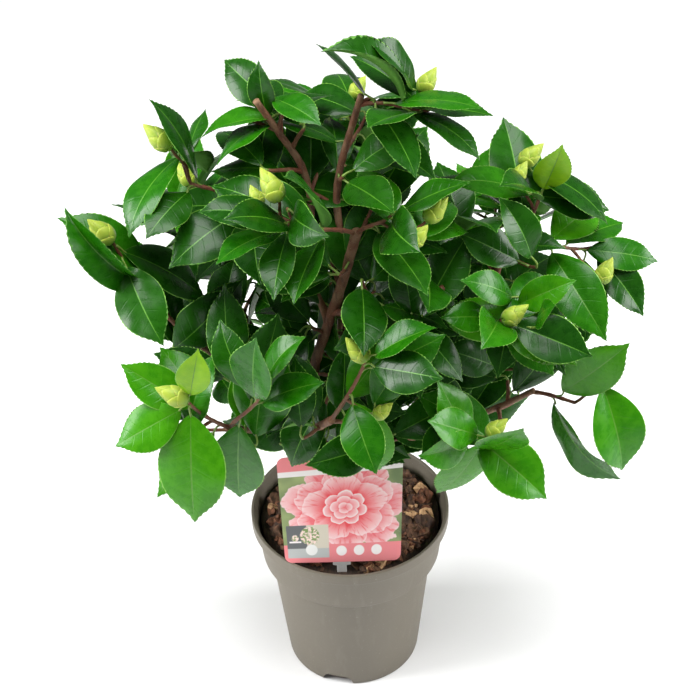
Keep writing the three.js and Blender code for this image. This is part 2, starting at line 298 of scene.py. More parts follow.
@dataclass(frozen=True)
class SkinFinish:
    """A plain living skin, such as a midrib, a leaf's margin or a green stalk."""

    name: str
    colour: Colour
    roughness: float
    speckle: Colour
    scale: float = 700.0
    relief: float = 0.0001

    def material(self) -> Material:
        """The material of this skin."""
        s = Shader(self.name)
        grain = s.grain(self.scale, 3.0)
        s.finish(
            s.mix(grain.above(0.52, 0.14), self.colour, self.speckle),
            relief=grain,
            depth=self.relief,
            Roughness=grain * 0.15 + self.roughness,
        )
        return s.material


@dataclass(frozen=True)
class BarkFinish:
    """Thin bark: red-brown skin with grey flakes and pale pores, streaked along the limb."""

    name: str
    brown: Colour
    grey: Colour
    pore: Colour

    def material(self) -> Material:
        """The material of this bark."""
        s = Shader(self.name)
        streaks = s.grain(260.0, 5.0, s.stretched((1.0, 1.0, 0.22)))
        flakes = s.grain(90.0, 4.0)
        pores = s.grain(1300.0, 1.0, s.stretched((1.0, 1.0, 1.8))).above(0.68, 0.03)
        skin = s.mix(flakes.above(0.5, 0.12) * 0.8, self.brown, self.grey)
        dark = s.mix(streaks.below(0.42, 0.08) * 0.6, skin, tuple(0.35 * c for c in self.brown))
        s.finish(
            s.mix(pores * 0.7, dark, self.pore),
            relief=streaks * 0.8 + pores * 0.3,
            depth=0.0006,
            Roughness=streaks * 0.2 + 0.58,
        )
        return s.material


@dataclass(frozen=True)
class BudFinish:
    """Silky bud scales that pale towards their tips, with a thin brown rim."""

    name: str
    green: Colour
    pale: Colour
    rim: Colour

    def material(self) -> Material:
        """The material of the scales."""
        s = Shader(self.name)
        along, across, _ = s.attribute("blade")
        edge = abs(across).above(0.93, 0.05) * along.above(0.5, 0.3)
        silk = s.grain(900.0, 3.0, s.stretched((1.0, 1.0, 0.35)))
        body = s.mix(along.above(0.55, 0.45) * 0.7 + silk * 0.25, self.green, self.pale)
        s.finish(
            s.mix(edge * 0.55, body, self.rim),
            relief=silk,
            depth=0.0002,
            Roughness=silk * 0.15 + 0.42,
            Specular_IOR_Level=0.35,
            Sheen_Weight=0.1,
        )
        return s.material


@dataclass(frozen=True)
class PotFinish:
    """Matt moulded plastic in a warm grey, with scuffs, dust specks and a fine grain."""

    name: str = "pot_plastic"
    colour: Colour = (0.122, 0.106, 0.079)
    worn: Colour = (0.155, 0.135, 0.1)
    dust: Colour = (0.36, 0.33, 0.28)

    def material(self) -> Material:
        """The material of the pot."""
        s = Shader(self.name)
        cloud = s.grain(14.0, 4.0)
        scuffs = s.grain(160.0, 3.0, s.stretched((1.0, 1.0, 0.2))).above(0.64, 0.08)
        specks = s.grain(900.0, 1.0).above(0.74, 0.02)
        grain = s.grain(2600.0, 2.0)
        body = s.mix(cloud.above(0.5, 0.3) * 0.4, self.colour, self.worn)
        scuffed = s.mix(scuffs * 0.05, body, self.dust)
        s.finish(
            s.mix(specks * 0.35, scuffed, self.dust),
            relief=grain * 0.6 + scuffs * 0.2,
            depth=0.00012,
            Roughness=grain * 0.12 + cloud * 0.1 + 0.42,
        )
        return s.material


@dataclass(frozen=True)
class ChipFinish:
    """Composted bark: fibrous and dull, darker in its cracks."""

    name: str
    colour: Colour
    dark: Colour

    def material(self) -> Material:
        """The material of the chips."""
        s = Shader(self.name)
        fibre = s.grain(420.0, 4.0, s.stretched((1.0, 0.35, 1.0)))
        crumbs = s.grain(1400.0, 3.0)
        s.finish(
            s.mix(fibre.above(0.5, 0.16), self.dark, self.colour),
            relief=fibre * 0.7 + crumbs * 0.4,
            depth=0.0008,
            Roughness=crumbs * 0.15 + 0.78,
        )
        return s.material


class Print:
    """The picture on the label: a large double bloom over a blurred garden, on pink."""

    PINK: Colour = (0.8, 0.24, 0.26)
    WHITE: Colour = (0.87, 0.82, 0.81)
    PETAL: Colour = (0.85, 0.33, 0.36)
    PALE: Colour = (0.9, 0.62, 0.63)
    CORAL: Colour = (0.78, 0.075, 0.09)
    GARDEN: Colour = (0.4, 0.47, 0.2)
    SHADE: Colour = (0.16, 0.22, 0.1)
    CENTRE = (0.53, 0.5)
    # petals, reach, turn, how white the edge is, how deep the heart is
    RINGS = ((7, 0.51, 0.3, 0.25, 0.45), (6, 0.42, 1.0, 0.35, 0.6), (5, 0.34, 0.2, 0.3, 1.0),
             (7, 0.18, 0.7, 1.0, 0.95), (5, 0.12, 0.2, 0.7, 0.5), (3, 0.06, 0.9, 0.4, 0.7))

    def __init__(self) -> None:
        """Start the picture."""
        self.s = Shader("label_print")
        self.across, self.up, _ = self.s.attribute("sheet")
        x = self.across - self.CENTRE[0]
        y = (self.up - self.CENTRE[1]) * 1.18
        self.reach = self.s.math("SQRT", x * x + y * y)
        self.angle = self.s.math("ARCTAN2", y, x)
        spread = self.s.node("ShaderNodeCombineXYZ", {}, {0: self.angle * 14.0, 1: self.reach * 9.0})
        self.streaks = self.s.grain(1.0, 3.0, spread.outputs[0]).above(0.6, 0.1)

    def ring(self, petals: int, radius: float, turn: float, inner: float) -> Tuple[Field, Field, Field]:
        """One ring of petals.

        Args:
            petals: Number of petals in the ring.
            radius: How far the petals reach, in widths of the label.
            turn: Where the first petal starts, in radians.
            inner: How much of the petals the next ring covers.

        Returns:
            The ring's mask, the rise from heart to tip inside each petal, and its edge.
        """
        s = self.s
        petal = abs(((self.angle + turn) * (petals / math.tau)).fraction() - 0.5) * 2.0
        ruffle = s.grain(70.0 + 13.0 * petals, 2.0) * 0.22
        lobe = (0.92 - petal ** 2.6 * 0.22 + ruffle) * radius
        rise = (self.reach / lobe - inner * 0.9) / (1.0 - inner * 0.9) - petal.above(0.84, 0.14) * 0.4
        return (lobe - self.reach).above(0.0, 0.005), rise, (lobe - self.reach).below(0.009, 0.009)

    def panel(self, left: float, right: float, low: float, high: float, blur: float = 0.003) -> Field:
        """The mask of a rectangle on the sheet."""
        sides = self.across.above(left, blur) * self.across.below(right, blur)
        return sides * self.up.above(low, blur) * self.up.below(high, blur)

    def disc(self, x: float, y: float, radius: float) -> Field:
        """The mask of a round spot on the sheet."""
        dx = self.across - x
        dy = (self.up - y) * 0.97
        return self.s.math("SQRT", dx * dx + dy * dy).below(radius, 0.004)

    def material(self) -> Material:
        """The printed material."""
        s = self.s
        blurred = s.grain(38.0, 2.0).above(0.5, 0.18)
        colour = s.mix(blurred, self.GARDEN, self.SHADE)
        reaches = [ring[1] for ring in self.RINGS] + [0.0]
        for (petals, radius, turn, white, deep), covered in zip(self.RINGS, reaches[1:]):
            mask, rise, edge = self.ring(petals, radius, turn, covered / radius)
            heart = s.mix(deep, self.PETAL, self.CORAL)
            petal = s.mix(rise, heart, self.PALE)
            streaked = s.mix(self.streaks * (0.62 if radius > 0.2 else 0.1), petal, self.CORAL)
            colour = s.mix(mask, colour, s.mix(edge * white, streaked, self.WHITE))
        colour = s.mix(self.up.below(0.17, 0.003), colour, self.PINK)
        for x in (0.49, 0.64, 0.79):
            colour = s.mix(self.disc(x, 0.105, 0.045), colour, self.WHITE)
        colour = self._inset(colour)
        colour = s.mix(self.up.above(0.815, 0.003), colour, self.WHITE)
        colour = s.mix(self.up.above(0.865, 0.003), colour, self.PINK)
        s.finish(colour, Roughness=s.grain(500.0, 2.0) * 0.1 + 0.36, Coat_Weight=0.12, Coat_Roughness=0.12,
                 Specular_IOR_Level=0.3)
        return s.material

    def _inset(self, colour: Socket) -> Socket:
        """Lay the small picture of a vase on a table over the lower left corner.

        Args:
            colour: What lies under it.

        Returns:
            The colour with the small picture.
        """
        s = self.s
        frame_mask = self.panel(0.03, 0.385, 0.045, 0.355)
        wall = s.mix(self.across.above(0.2, 0.004), (0.13, 0.135, 0.14), (0.62, 0.57, 0.47))
        table = s.mix(self.panel(0.05, 0.15, 0.19, 0.205), wall, self.WHITE)
        floor = s.mix(self.up.below(0.135, 0.004), table, (0.45, 0.47, 0.46))
        vase = self.disc(0.235, 0.12, 0.05)
        bouquet = self.disc(0.225, 0.255, 0.082)
        posy = self.disc(0.1, 0.235, 0.03)
        leaves = s.mix(s.grain(500.0, 1.0).above(0.5, 0.1), (0.2, 0.3, 0.1), (0.85, 0.66, 0.6))
        blooms = s.mix(posy, s.mix(bouquet, floor, leaves), leaves)
        inside = s.mix(vase, blooms, (0.78, 0.78, 0.76))
        return s.mix(frame_mask, colour, inside)


# ---- mesh building


def unit(vector: Array) -> Array:
    """The vector, or each row of an array, at length 1."""
    return vector / np.maximum(np.linalg.norm(vector, axis=-1, keepdims=True), 1e-12)


def square_to(vector: Array, axis: Array) -> Array:
    """The part of a vector at right angles to a unit axis, at length 1."""
    return unit(vector - np.dot(vector, axis) * axis)


def box_middle(node: str) -> Array:
    """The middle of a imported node's box."""
    low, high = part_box(node)
    return 0.5 * (np.array(low) + np.array(high))


def smooth_path(points: Array, step: float) -> Array:
    """A smooth curve through turning points, with even steps.

    Args:
        points: Turning points, one in each row.
        step: Distance between the new points.

    Returns:
        Points along the curve.
    """
    ends = np.vstack([2 * points[0] - points[1], points, 2 * points[-1] - points[-2]])
    dense = []
    for a, b, c, d in zip(ends, ends[1:], ends[2:], ends[3:]):
        t = np.linspace(0, 1, 24, endpoint=False)[:, None]
        square, cube = 2 * a - 5 * b + 4 * c - d, 3 * b - a - 3 * c + d
        dense.append(0.5 * (2 * b + (c - a) * t + square * t**2 + cube * t**3))
    dense.append(points[-1:])
    line = np.vstack(dense)
    walked = np.concatenate([[0], np.cumsum(np.linalg.norm(np.diff(line, axis=0), axis=1))])
    count = max(4, int(round(walked[-1] / step)) + 1)
    even = np.linspace(0, walked[-1], count)
    return np.stack([np.interp(even, walked, line[:, axis]) for axis in range(3)], axis=1)


@dataclass
class Patch:
    """Points and faces of one small shape, before it is joined with others."""

    points: Array
    corners: Array  # point numbers of every face, one after the other
    sizes: Array  # number of corners of each face
    corner_uv: Array  # place of each corner in the shape's own cell
    slots: Array  # material of each face
    cells: Array  # which of the shape's cells each face lies in
    blade: Array  # a vector stored at each point for the material


def linked(name: str, data: bpy.types.ID) -> Piece:
    """Put data into the scene.

    Args:
        name: Name of the new object.
        data: Its mesh, lamp or lens.

    Returns:
        The object.
    """
    made = bpy.data.objects.new(name, data)
    bpy.context.scene.collection.objects.link(made)
    return made


def join(name: str, patches: Sequence[Patch], materials: Sequence[Material], aspect: float = 1.8,
         attribute: str = "blade") -> Piece:
    """Join many small shapes into one mesh, with a cell of the map for each.

    Args:
        name: Name of the object.
        patches: The shapes.
        materials: Materials in the order of the faces' slots.
        aspect: Width of a cell of the map over its height.
        attribute: Name of the stored vector.

    Returns:
        The object.
    """
    corners, cells, first_cell, first_point = [], [], 0, 0
    for patch in patches:
        corners.append(patch.corners + first_point)
        cells.append(np.repeat(patch.cells + first_cell, patch.sizes))
        first_point += len(patch.points)
        first_cell += int(patch.cells.max()) + 1
    sizes = np.concatenate([patch.sizes for patch in patches])
    mesh = bpy.data.meshes.new(name)
    mesh.vertices.add(first_point)
    mesh.vertices.foreach_set("co", np.vstack([patch.points for patch in patches]).astype(np.float32).ravel())
    mesh.loops.add(int(sizes.sum()))
    mesh.loops.foreach_set("vertex_index", np.concatenate(corners).astype(np.int32))
    mesh.polygons.add(len(sizes))
    mesh.polygons.foreach_set("loop_start", np.concatenate([[0], np.cumsum(sizes)[:-1]]).astype(np.int32))
    slots = np.concatenate([patch.slots for patch in patches])
    mesh.polygons.foreach_set("material_index", slots.astype(np.int32))
    mesh.polygons.foreach_set("use_smooth", np.ones(len(sizes), bool))
    mesh.update(calc_edges=True)
    columns = max(1, int(math.sqrt(first_cell / aspect)))
    rows = math.ceil(first_cell / columns)
    cell = np.concatenate(cells)
    inset = 0.05 + 0.9 * np.vstack([patch.corner_uv for patch in patches])
    across, up = (cell % columns + inset[:, 0]) / columns, (cell // columns + inset[:, 1]) / rows
    spread = np.stack([across, up], axis=1)
    mesh.uv_layers.new(name="OFBake").data.foreach_set("uv", spread.astype(np.float32).ravel())
    stored = mesh.attributes.new(attribute, "FLOAT_VECTOR", "POINT")
    stored.data.foreach_set("vector", np.vstack([p.blade for p in patches]).astype(np.float32).ravel())
    for material in materials:
        mesh.materials.append(material)
    return linked(name, mesh)


def turned_faces(levels: int, sides: int) -> Tuple[List[int], List[int]]:
    """Faces of a shape turned on an axis, with a point at each end.

    Args:
        levels: Number of rings between the two points.
        sides: Number of points in each ring.

    Returns:
        The corners of the faces, one wedge after the other, and the number of corners of each.
    """
    corners: List[int] = []
    last, end = 1 + (levels - 1) * sides, 1 + levels * sides
    for k in range(sides):
        j = (k + 1) % sides
        corners += [0, 1 + k, 1 + j]
        for inner in range(1, last, sides):
            outer = inner + sides
            corners += [inner + k, outer + k, outer + j, inner + j]
        corners += [last + k, end, last + j]
    return corners, ([3] + [4] * (levels - 1) + [3]) * sides


def carried(path: Array) -> Tuple[Array, Array, Array]:
    """Frames that move along a path without spinning.

    Args:
        path: Points along the path.

    Returns:
        The tangents and the two side vectors at each point.
    """
    tangents = unit(np.gradient(path, axis=0))
    side = square_to(np.array([0.31, 0.17, 0.05]) + FRONT, tangents[0])
    sides = []
    for tangent in tangents:
        side = square_to(side, tangent)
        sides.append(side)
    sides = np.array(sides)
    return tangents, sides, np.cross(tangents, sides)


def tube(path: Array, radii: Array, sides: int, slot: int = 0, dome: float = 0.5,
         relief: Optional[Callable[[Array, Array], Array]] = None) -> Patch:
    """A closed tube along a path.

    Args:
        path: Points along the middle of the tube.
        radii: Radius at each point.
        sides: Number of faces round the tube.
        slot: Material of its faces.
        dome: How far the end bulges out, in radii.
        relief: Gives how far each point stands out, from its place and its outward way.

    Returns:
        The tube as one patch.
    """
    tangents, one, two = carried(path)
    rings = len(path)
    angle = np.arange(sides) * math.tau / sides
    out = np.cos(angle)[None, :, None] * one[:, None, :] + np.sin(angle)[None, :, None] * two[:, None, :]
    skin = path[:, None, :] + out * radii[:, None, None]
    points, ways = skin.reshape(-1, 3), out.reshape(-1, 3)
    if relief is not None:
        points = points + ways * relief(points, ways)[:, None]
    start = path[0] - tangents[0] * radii[0] * 0.3
    end = path[-1] + tangents[-1] * radii[-1] * dome
    points = np.vstack([points, start, end])
    ring, side = np.meshgrid(np.arange(rings - 1), np.arange(sides), indexing="ij")
    here, ahead, after = ring * sides, (ring + 1) * sides, (side + 1) % sides
    quads = np.stack([here + side, here + after, ahead + after, ahead + side], axis=-1).reshape(-1, 4)
    low, high = 0.04 + 0.92 * ring / (rings - 1), 0.04 + 0.92 * (ring + 1) / (rings - 1)
    left, right = side / sides, (side + 1) / sides
    quad_uv = np.stack([low, left, low, right, high, right, high, left], axis=-1).reshape(-1, 2)
    turn = np.arange(sides)
    after, last = (turn + 1) % sides, (rings - 1) * sides
    foot, tip = np.full(sides, rings * sides), np.full(sides, rings * sides + 1)
    foot_cap = np.stack([after, turn, foot], axis=1)
    tip_cap = np.stack([last + turn, last + after, tip], axis=1)
    caps = np.vstack([foot_cap, tip_cap])
    left, right, middle = turn / sides, (turn + 1) / sides, (turn + 0.5) / sides
    zero, low, high, one = (np.full(sides, place) for place in (0.0, 0.04, 0.96, 1.0))
    cap_uv = np.vstack([
        np.stack([low, right, low, left, zero, middle], axis=1),
        np.stack([high, left, high, right, one, middle], axis=1),
    ]).reshape(-1, 2)
    faces = len(quads) + len(caps)
    return Patch(
        points=points,
        corners=np.concatenate([quads.ravel(), caps.ravel()]),
        sizes=np.concatenate([np.full(len(quads), 4), np.full(len(caps), 3)]),
        corner_uv=np.vstack([quad_uv, cap_uv]),
        slots=np.full(faces, slot),
        cells=np.zeros(faces, int),
        blade=np.zeros((len(points), 3)),
    )


class Lens:
    """A thin closed blade: two faces of a grid that share their rim, with a point at each end."""

    def __init__(self, rows: int, top: Sequence[float], under: Sequence[float]) -> None:
        """Lay out the grid.

        Args:
            rows: Number of rows along the blade between its two end points.
            top: Places of the upper face's columns from -1 to 1, both rims included.
            under: Places of the lower face's columns, without the rims.
        """
        along = np.linspace(0, 1, rows + 2)[1:-1]
        columns = np.concatenate([top, under])
        faces_up = np.concatenate([np.ones(len(top)), -np.ones(len(under))])
        faces_up[[0, len(top) - 1]] = 0
        self.row = np.concatenate([np.repeat(np.arange(rows), len(columns)), [-1, rows]])
        self.u = np.concatenate([np.repeat(along, len(columns)), [0.0, 1.0]])
        self.v = np.concatenate([np.tile(columns, rows), [0.0, 0.0]])
        self.side = np.concatenate([np.tile(faces_up, rows), [0, 0]])
        upper = list(range(len(top)))
        lower = [len(top) - 1] + [len(top) + i for i in reversed(range(len(under)))] + [0]
        corners: List[int] = []
        sizes: List[int] = []
        self.middle: List[float] = []
        cells: List[int] = []
        width, base, tip = len(columns), rows * len(columns), rows * len(columns) + 1
        for cell, order in enumerate((upper, lower)):
            for a, b in zip(order, order[1:]):
                place = 0.5 * (columns[a] + columns[b])
                for row in range(-1, rows):
                    here, ahead = row * width, (row + 1) * width
                    if row < 0:
                        face = [base, ahead + a, ahead + b]
                    elif row == rows - 1:
                        face = [here + b, here + a, tip]
                    else:
                        face = [here + b, here + a, ahead + a, ahead + b]
                    corners.extend(face)
                    sizes.append(len(face))
                    self.middle.append(place)
                    cells.append(cell)
        self.corners = np.array(corners)
        self.sizes = np.array(sizes)
        self.cells = np.array(cells)
        self.middle = np.array(self.middle)

    def patch(self, points: Array, outline: Array, slots: Array, chance: float) -> Patch:
        """Put the grid's faces on a set of points.

        Args:
            points: Place of each grid point.
            outline: Half width at each point over the widest.
            slots: Material of each face.
            chance: A number of this blade alone, for its material.

        Returns:
            The blade.
        """
        uv = np.stack([self.u, 0.5 + 0.5 * self.v * outline], axis=1)
        blade = np.stack([self.u, self.v, np.full(len(self.u), chance)], axis=1)
        return Patch(points, self.corners, self.sizes, uv[self.corners], slots, self.cells, blade)


# ---- leaves


class LeafTone(Enum):
    """The greens of the upper faces, and the skins that go with them."""

    DEEP = 0
    MID = 1
    FRESH = 2
    YOUNG = 3
    MIDRIB = 4
    MARGIN = 5
    UNDER = 6


LEAF_FINISHES = {
    LeafTone.DEEP: BladeFinish("leaf_deep", (0.004, 0.042, 0.0006), (0.012, 0.088, 0.0012), 0.29, 0.04),
    LeafTone.MID: BladeFinish("leaf_mid", (0.007, 0.083, 0.0006), (0.024, 0.156, 0.0014), 0.28, 0.04),
    LeafTone.FRESH: BladeFinish("leaf_fresh", (0.017, 0.148, 0.0006), (0.055, 0.25, 0.0016), 0.28, 0.04),
    LeafTone.YOUNG: BladeFinish("leaf_young", (0.13, 0.34, 0.003), (0.25, 0.46, 0.008), 0.36, 0.05),
    LeafTone.MIDRIB: SkinFinish("leaf_midrib", (0.07, 0.23, 0.008), 0.35, (0.05, 0.18, 0.006)),
    LeafTone.MARGIN: SkinFinish("leaf_margin", (0.16, 0.36, 0.04), 0.42, (0.1, 0.28, 0.02)),
    LeafTone.UNDER: BladeFinish("leaf_under", (0.06, 0.19, 0.025), (0.11, 0.27, 0.045), 0.5, 0.0, vein=0.4),
}


@dataclass
class Leaf:
    """One leaf blade: where it is, which way it lies and how it bends."""

    base: Array
    way: Array  # unit vector from its base to its tip
    face: Array  # unit vector that its upper face looks along
    length: float
    width: float
    droop: float = 0.6  # radians that it bends down from base to tip
    fold: float = 0.16  # rise of its halves from the midrib
    cup: float = 0.08  # how far the rims then turn down
    wave: float = 0.05
    twist: float = 0.0
    phase: float = 0.0
    tone: LeafTone = LeafTone.MID


class Blade:
    """The outline and relief that every leaf shares."""

    ROWS = 39
    TOP = (-1, -0.97, -0.64, -0.3, -0.024, 0.024, 0.3, 0.64, 0.97, 1)
    UNDER = (-0.5, -0.06, 0.06, 0.5)
    THICKNESS = 0.45 * MM
    TOOTH = 0.2 * MM
    VEIN_PAIRS = 8.0
    QUILT = 0.15 * MM

    def __init__(self) -> None:
        """Lay out the grid and the outline."""
        self.grid = Lens(self.ROWS, self.TOP, self.UNDER)
        self.outline = self.width_at(self.grid.u)
        kinds = np.where(np.abs(self.grid.middle) < 0.01, LeafTone.MIDRIB.value, -1)
        kinds = np.where(np.abs(self.grid.middle) > 0.97, LeafTone.MARGIN.value, kinds)
        self.kinds = np.where(self.grid.cells == 1, LeafTone.UNDER.value, kinds)
        self.fine = np.linspace(0, 1, 201)

    @staticmethod
    def width_at(u: Array) -> Array:
        """Half width along the blade over the widest: broad in the middle, drawn out to a tip."""
        body = np.nan_to_num(np.sin(math.pi * np.clip(u, 0, 1) ** 0.92) ** 0.9)
        return body * (1 - 0.6 * np.exp(-((1 - u) / 0.14) ** 2))

    def spine(self, leaf: Leaf) -> Tuple[Array, Array, Array]:
        """The midrib of a leaf in its own plane.

        Args:
            leaf: The leaf.

        Returns:
            Distance along, height, and slope at even steps of the blade.
        """
        slope = leaf.droop * (0.45 - self.fine ** 1.25)
        x = np.concatenate([[0], np.cumsum(np.cos(slope[:-1]))])
        z = np.concatenate([[0], np.cumsum(np.sin(slope[:-1]))])
        lean = math.atan2(z[-1], x[-1])
        scale = leaf.length / math.hypot(x[-1], z[-1])
        cos, sin = math.cos(lean), math.sin(lean)
        return (x * cos + z * sin) * scale, (z * cos - x * sin) * scale, slope - lean

    def points(self, leaf: Leaf) -> Array:
        """Every grid point of a leaf.

        Args:
            leaf: The leaf.

        Returns:
            Places in metres.
        """
        grid = self.grid
        x_at, z_at, slope_at = self.spine(leaf)
        x, z, slope = (np.interp(grid.u, self.fine, values) for values in (x_at, z_at, slope_at))
        half = 0.5 * leaf.width * self.outline
        reach = np.abs(grid.v)
        rim = grid.side == 0
        toothed = rim & (grid.u > 0.1) & (grid.u < 0.97) & (grid.row >= 0)
        bite = np.where(grid.row % 2 == 1, 1.0, -0.7) * self.TOOTH
        across = grid.v * half + np.where(toothed, np.sign(grid.v) * bite, 0.0)
        x = x + np.where(toothed & (grid.row % 2 == 1), 0.35 * leaf.length / self.ROWS, 0.0)
        rise = half * (leaf.fold * reach - leaf.cup * reach**2 * 2.0)
        ripple = np.sin(math.tau * 1.6 * grid.u + leaf.phase + 2.1 * (grid.v > 0))
        rise = rise + half * leaf.wave * reach**2 * ripple
        ribs = np.abs(np.sin(math.pi * (grid.u * self.VEIN_PAIRS - reach * 1.1)))
        inner = np.clip(4 * reach * (1 - reach), 0, 1)
        quilt = self.QUILT * (ribs - 0.6) * inner * np.minimum(1, self.outline * 1.6)
        gutter = -0.4 * MM * np.exp(-(reach / 0.04) ** 2) * self.outline
        body = self.THICKNESS * (1 - reach**4) * np.minimum(1, self.outline * 2.2)
        keel = np.where(grid.side < 0, 0.5 * MM * np.exp(-(reach / 0.05) ** 2) * (1 - 0.7 * grid.u), 0.0)
        height = rise + quilt + gutter + 0.5 * grid.side * body - keel
        turn = leaf.twist * (grid.u - 0.3)
        level, steep = np.cos(turn), np.sin(turn)
        across, height = across * level - height * steep, across * steep + height * level
        x, z = x - height * np.sin(slope), z + height * np.cos(slope)
        side = np.cross(leaf.face, leaf.way)
        return leaf.base + x[:, None] * leaf.way + across[:, None] * side + z[:, None] * leaf.face

    def patch(self, leaf: Leaf) -> Patch:
        """The mesh of one leaf."""
        slots = np.where(self.kinds < 0, leaf.tone.value, self.kinds)
        return self.grid.patch(self.points(leaf), self.outline, slots, 0.5 + 0.5 * math.sin(leaf.phase * 7.0))


class Clearance:
    """Keeps new leaves out of the leaves and buds that already grow."""

    ALONG = np.linspace(0.12, 1.0, 8)
    ACROSS = np.array([-0.8, -0.4, 0.0, 0.4, 0.8])
    SLAB = 3.0 * MM
    BEND = 2.5 * MM  # how far a blade's halves fold out of its plane

    def __init__(self) -> None:
        """Start with an empty crown."""
        self.rows: List[Array] = []
        self.balls: List[Array] = []

    def keep(self, leaf: Leaf) -> None:
        """Remember a leaf that now grows."""
        side = np.cross(leaf.face, leaf.way)
        sizes = [leaf.length, leaf.width, leaf.droop]
        self.rows.append(np.concatenate([leaf.base, leaf.way, side, leaf.face, sizes]))

    def block(self, middle: Array, radius: float) -> None:
        """Remember a round thing, such as a bud."""
        self.balls.append(np.append(middle, radius))

    def samples(self, leaf: Leaf) -> Array:
        """A few points spread over a leaf's blade.

        Args:
            leaf: The leaf.

        Returns:
            The points.
        """
        u, v = (grid.ravel() for grid in np.meshgrid(self.ALONG, self.ACROSS, indexing="ij"))
        half = 0.5 * leaf.width * Blade.width_at(u)
        sag = leaf.length * leaf.droop * 0.5 * u * (1 - u)
        side = np.cross(leaf.face, leaf.way)
        flat = u[:, None] * leaf.length * leaf.way + (v * half)[:, None] * side
        return leaf.base + flat + sag[:, None] * leaf.face

    def _pierced(self, leaf: Leaf) -> int:
        """Number of round things that a leaf's blade cuts.

        Args:
            leaf: The new leaf.

        Returns:
            The count.
        """
        if not self.balls:
            return 0
        balls = np.array(self.balls)
        local = balls[:, :3] - leaf.base
        x = local @ leaf.way / leaf.length
        y = local @ np.cross(leaf.face, leaf.way)
        z = local @ leaf.face - leaf.length * leaf.droop * 0.5 * x * (1 - x)
        half = 0.5 * leaf.width * Blade.width_at(np.clip(x, 0, 1))
        near = (x * leaf.length > -balls[:, 3]) & (x < 1.04) & (np.abs(y) < half + balls[:, 3] * 0.8)
        return int((near & (np.abs(z) < balls[:, 3] + self.BEND)).sum())

    def clashes(self, leaf: Leaf) -> int:
        """Number of a leaf's sample points that touch what grows.

        Args:
            leaf: The new leaf.

        Returns:
            The count, 0 when it is clear.
        """
        count = 100 * self._pierced(leaf)
        if not self.rows:
            return count
        points = self.samples(leaf)
        rows = np.array(self.rows)
        middles = rows[:, :3] + rows[:, 3:6] * rows[:, 12:13] * 0.5
        near = np.linalg.norm(middles - points.mean(axis=0), axis=1) < 0.09
        rows = rows[near]
        local = points[None, :, :] - rows[:, None, :3]
        x = np.einsum("lpk,lk->lp", local, rows[:, 3:6]) / rows[:, 12:13]
        y = np.einsum("lpk,lk->lp", local, rows[:, 6:9])
        bend = rows[:, 12:13] * rows[:, 14:15] * 0.5 * x * (1 - x)
        z = np.einsum("lpk,lk->lp", local, rows[:, 9:12]) - bend
        half = 0.5 * rows[:, 13:14] * Blade.width_at(np.clip(x, 0, 1))
        inside = (x > 0.04) & (x < 1.02) & (np.abs(y) < half + 1 * MM) & (np.abs(z) < self.SLAB)
        return count + int(inside.sum())


# ---- limbs


@dataclass
class Limb:
    """A limb's middle line and its thickness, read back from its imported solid."""

    name: str
    path: Array
    radii: Array
    cut: bool = False


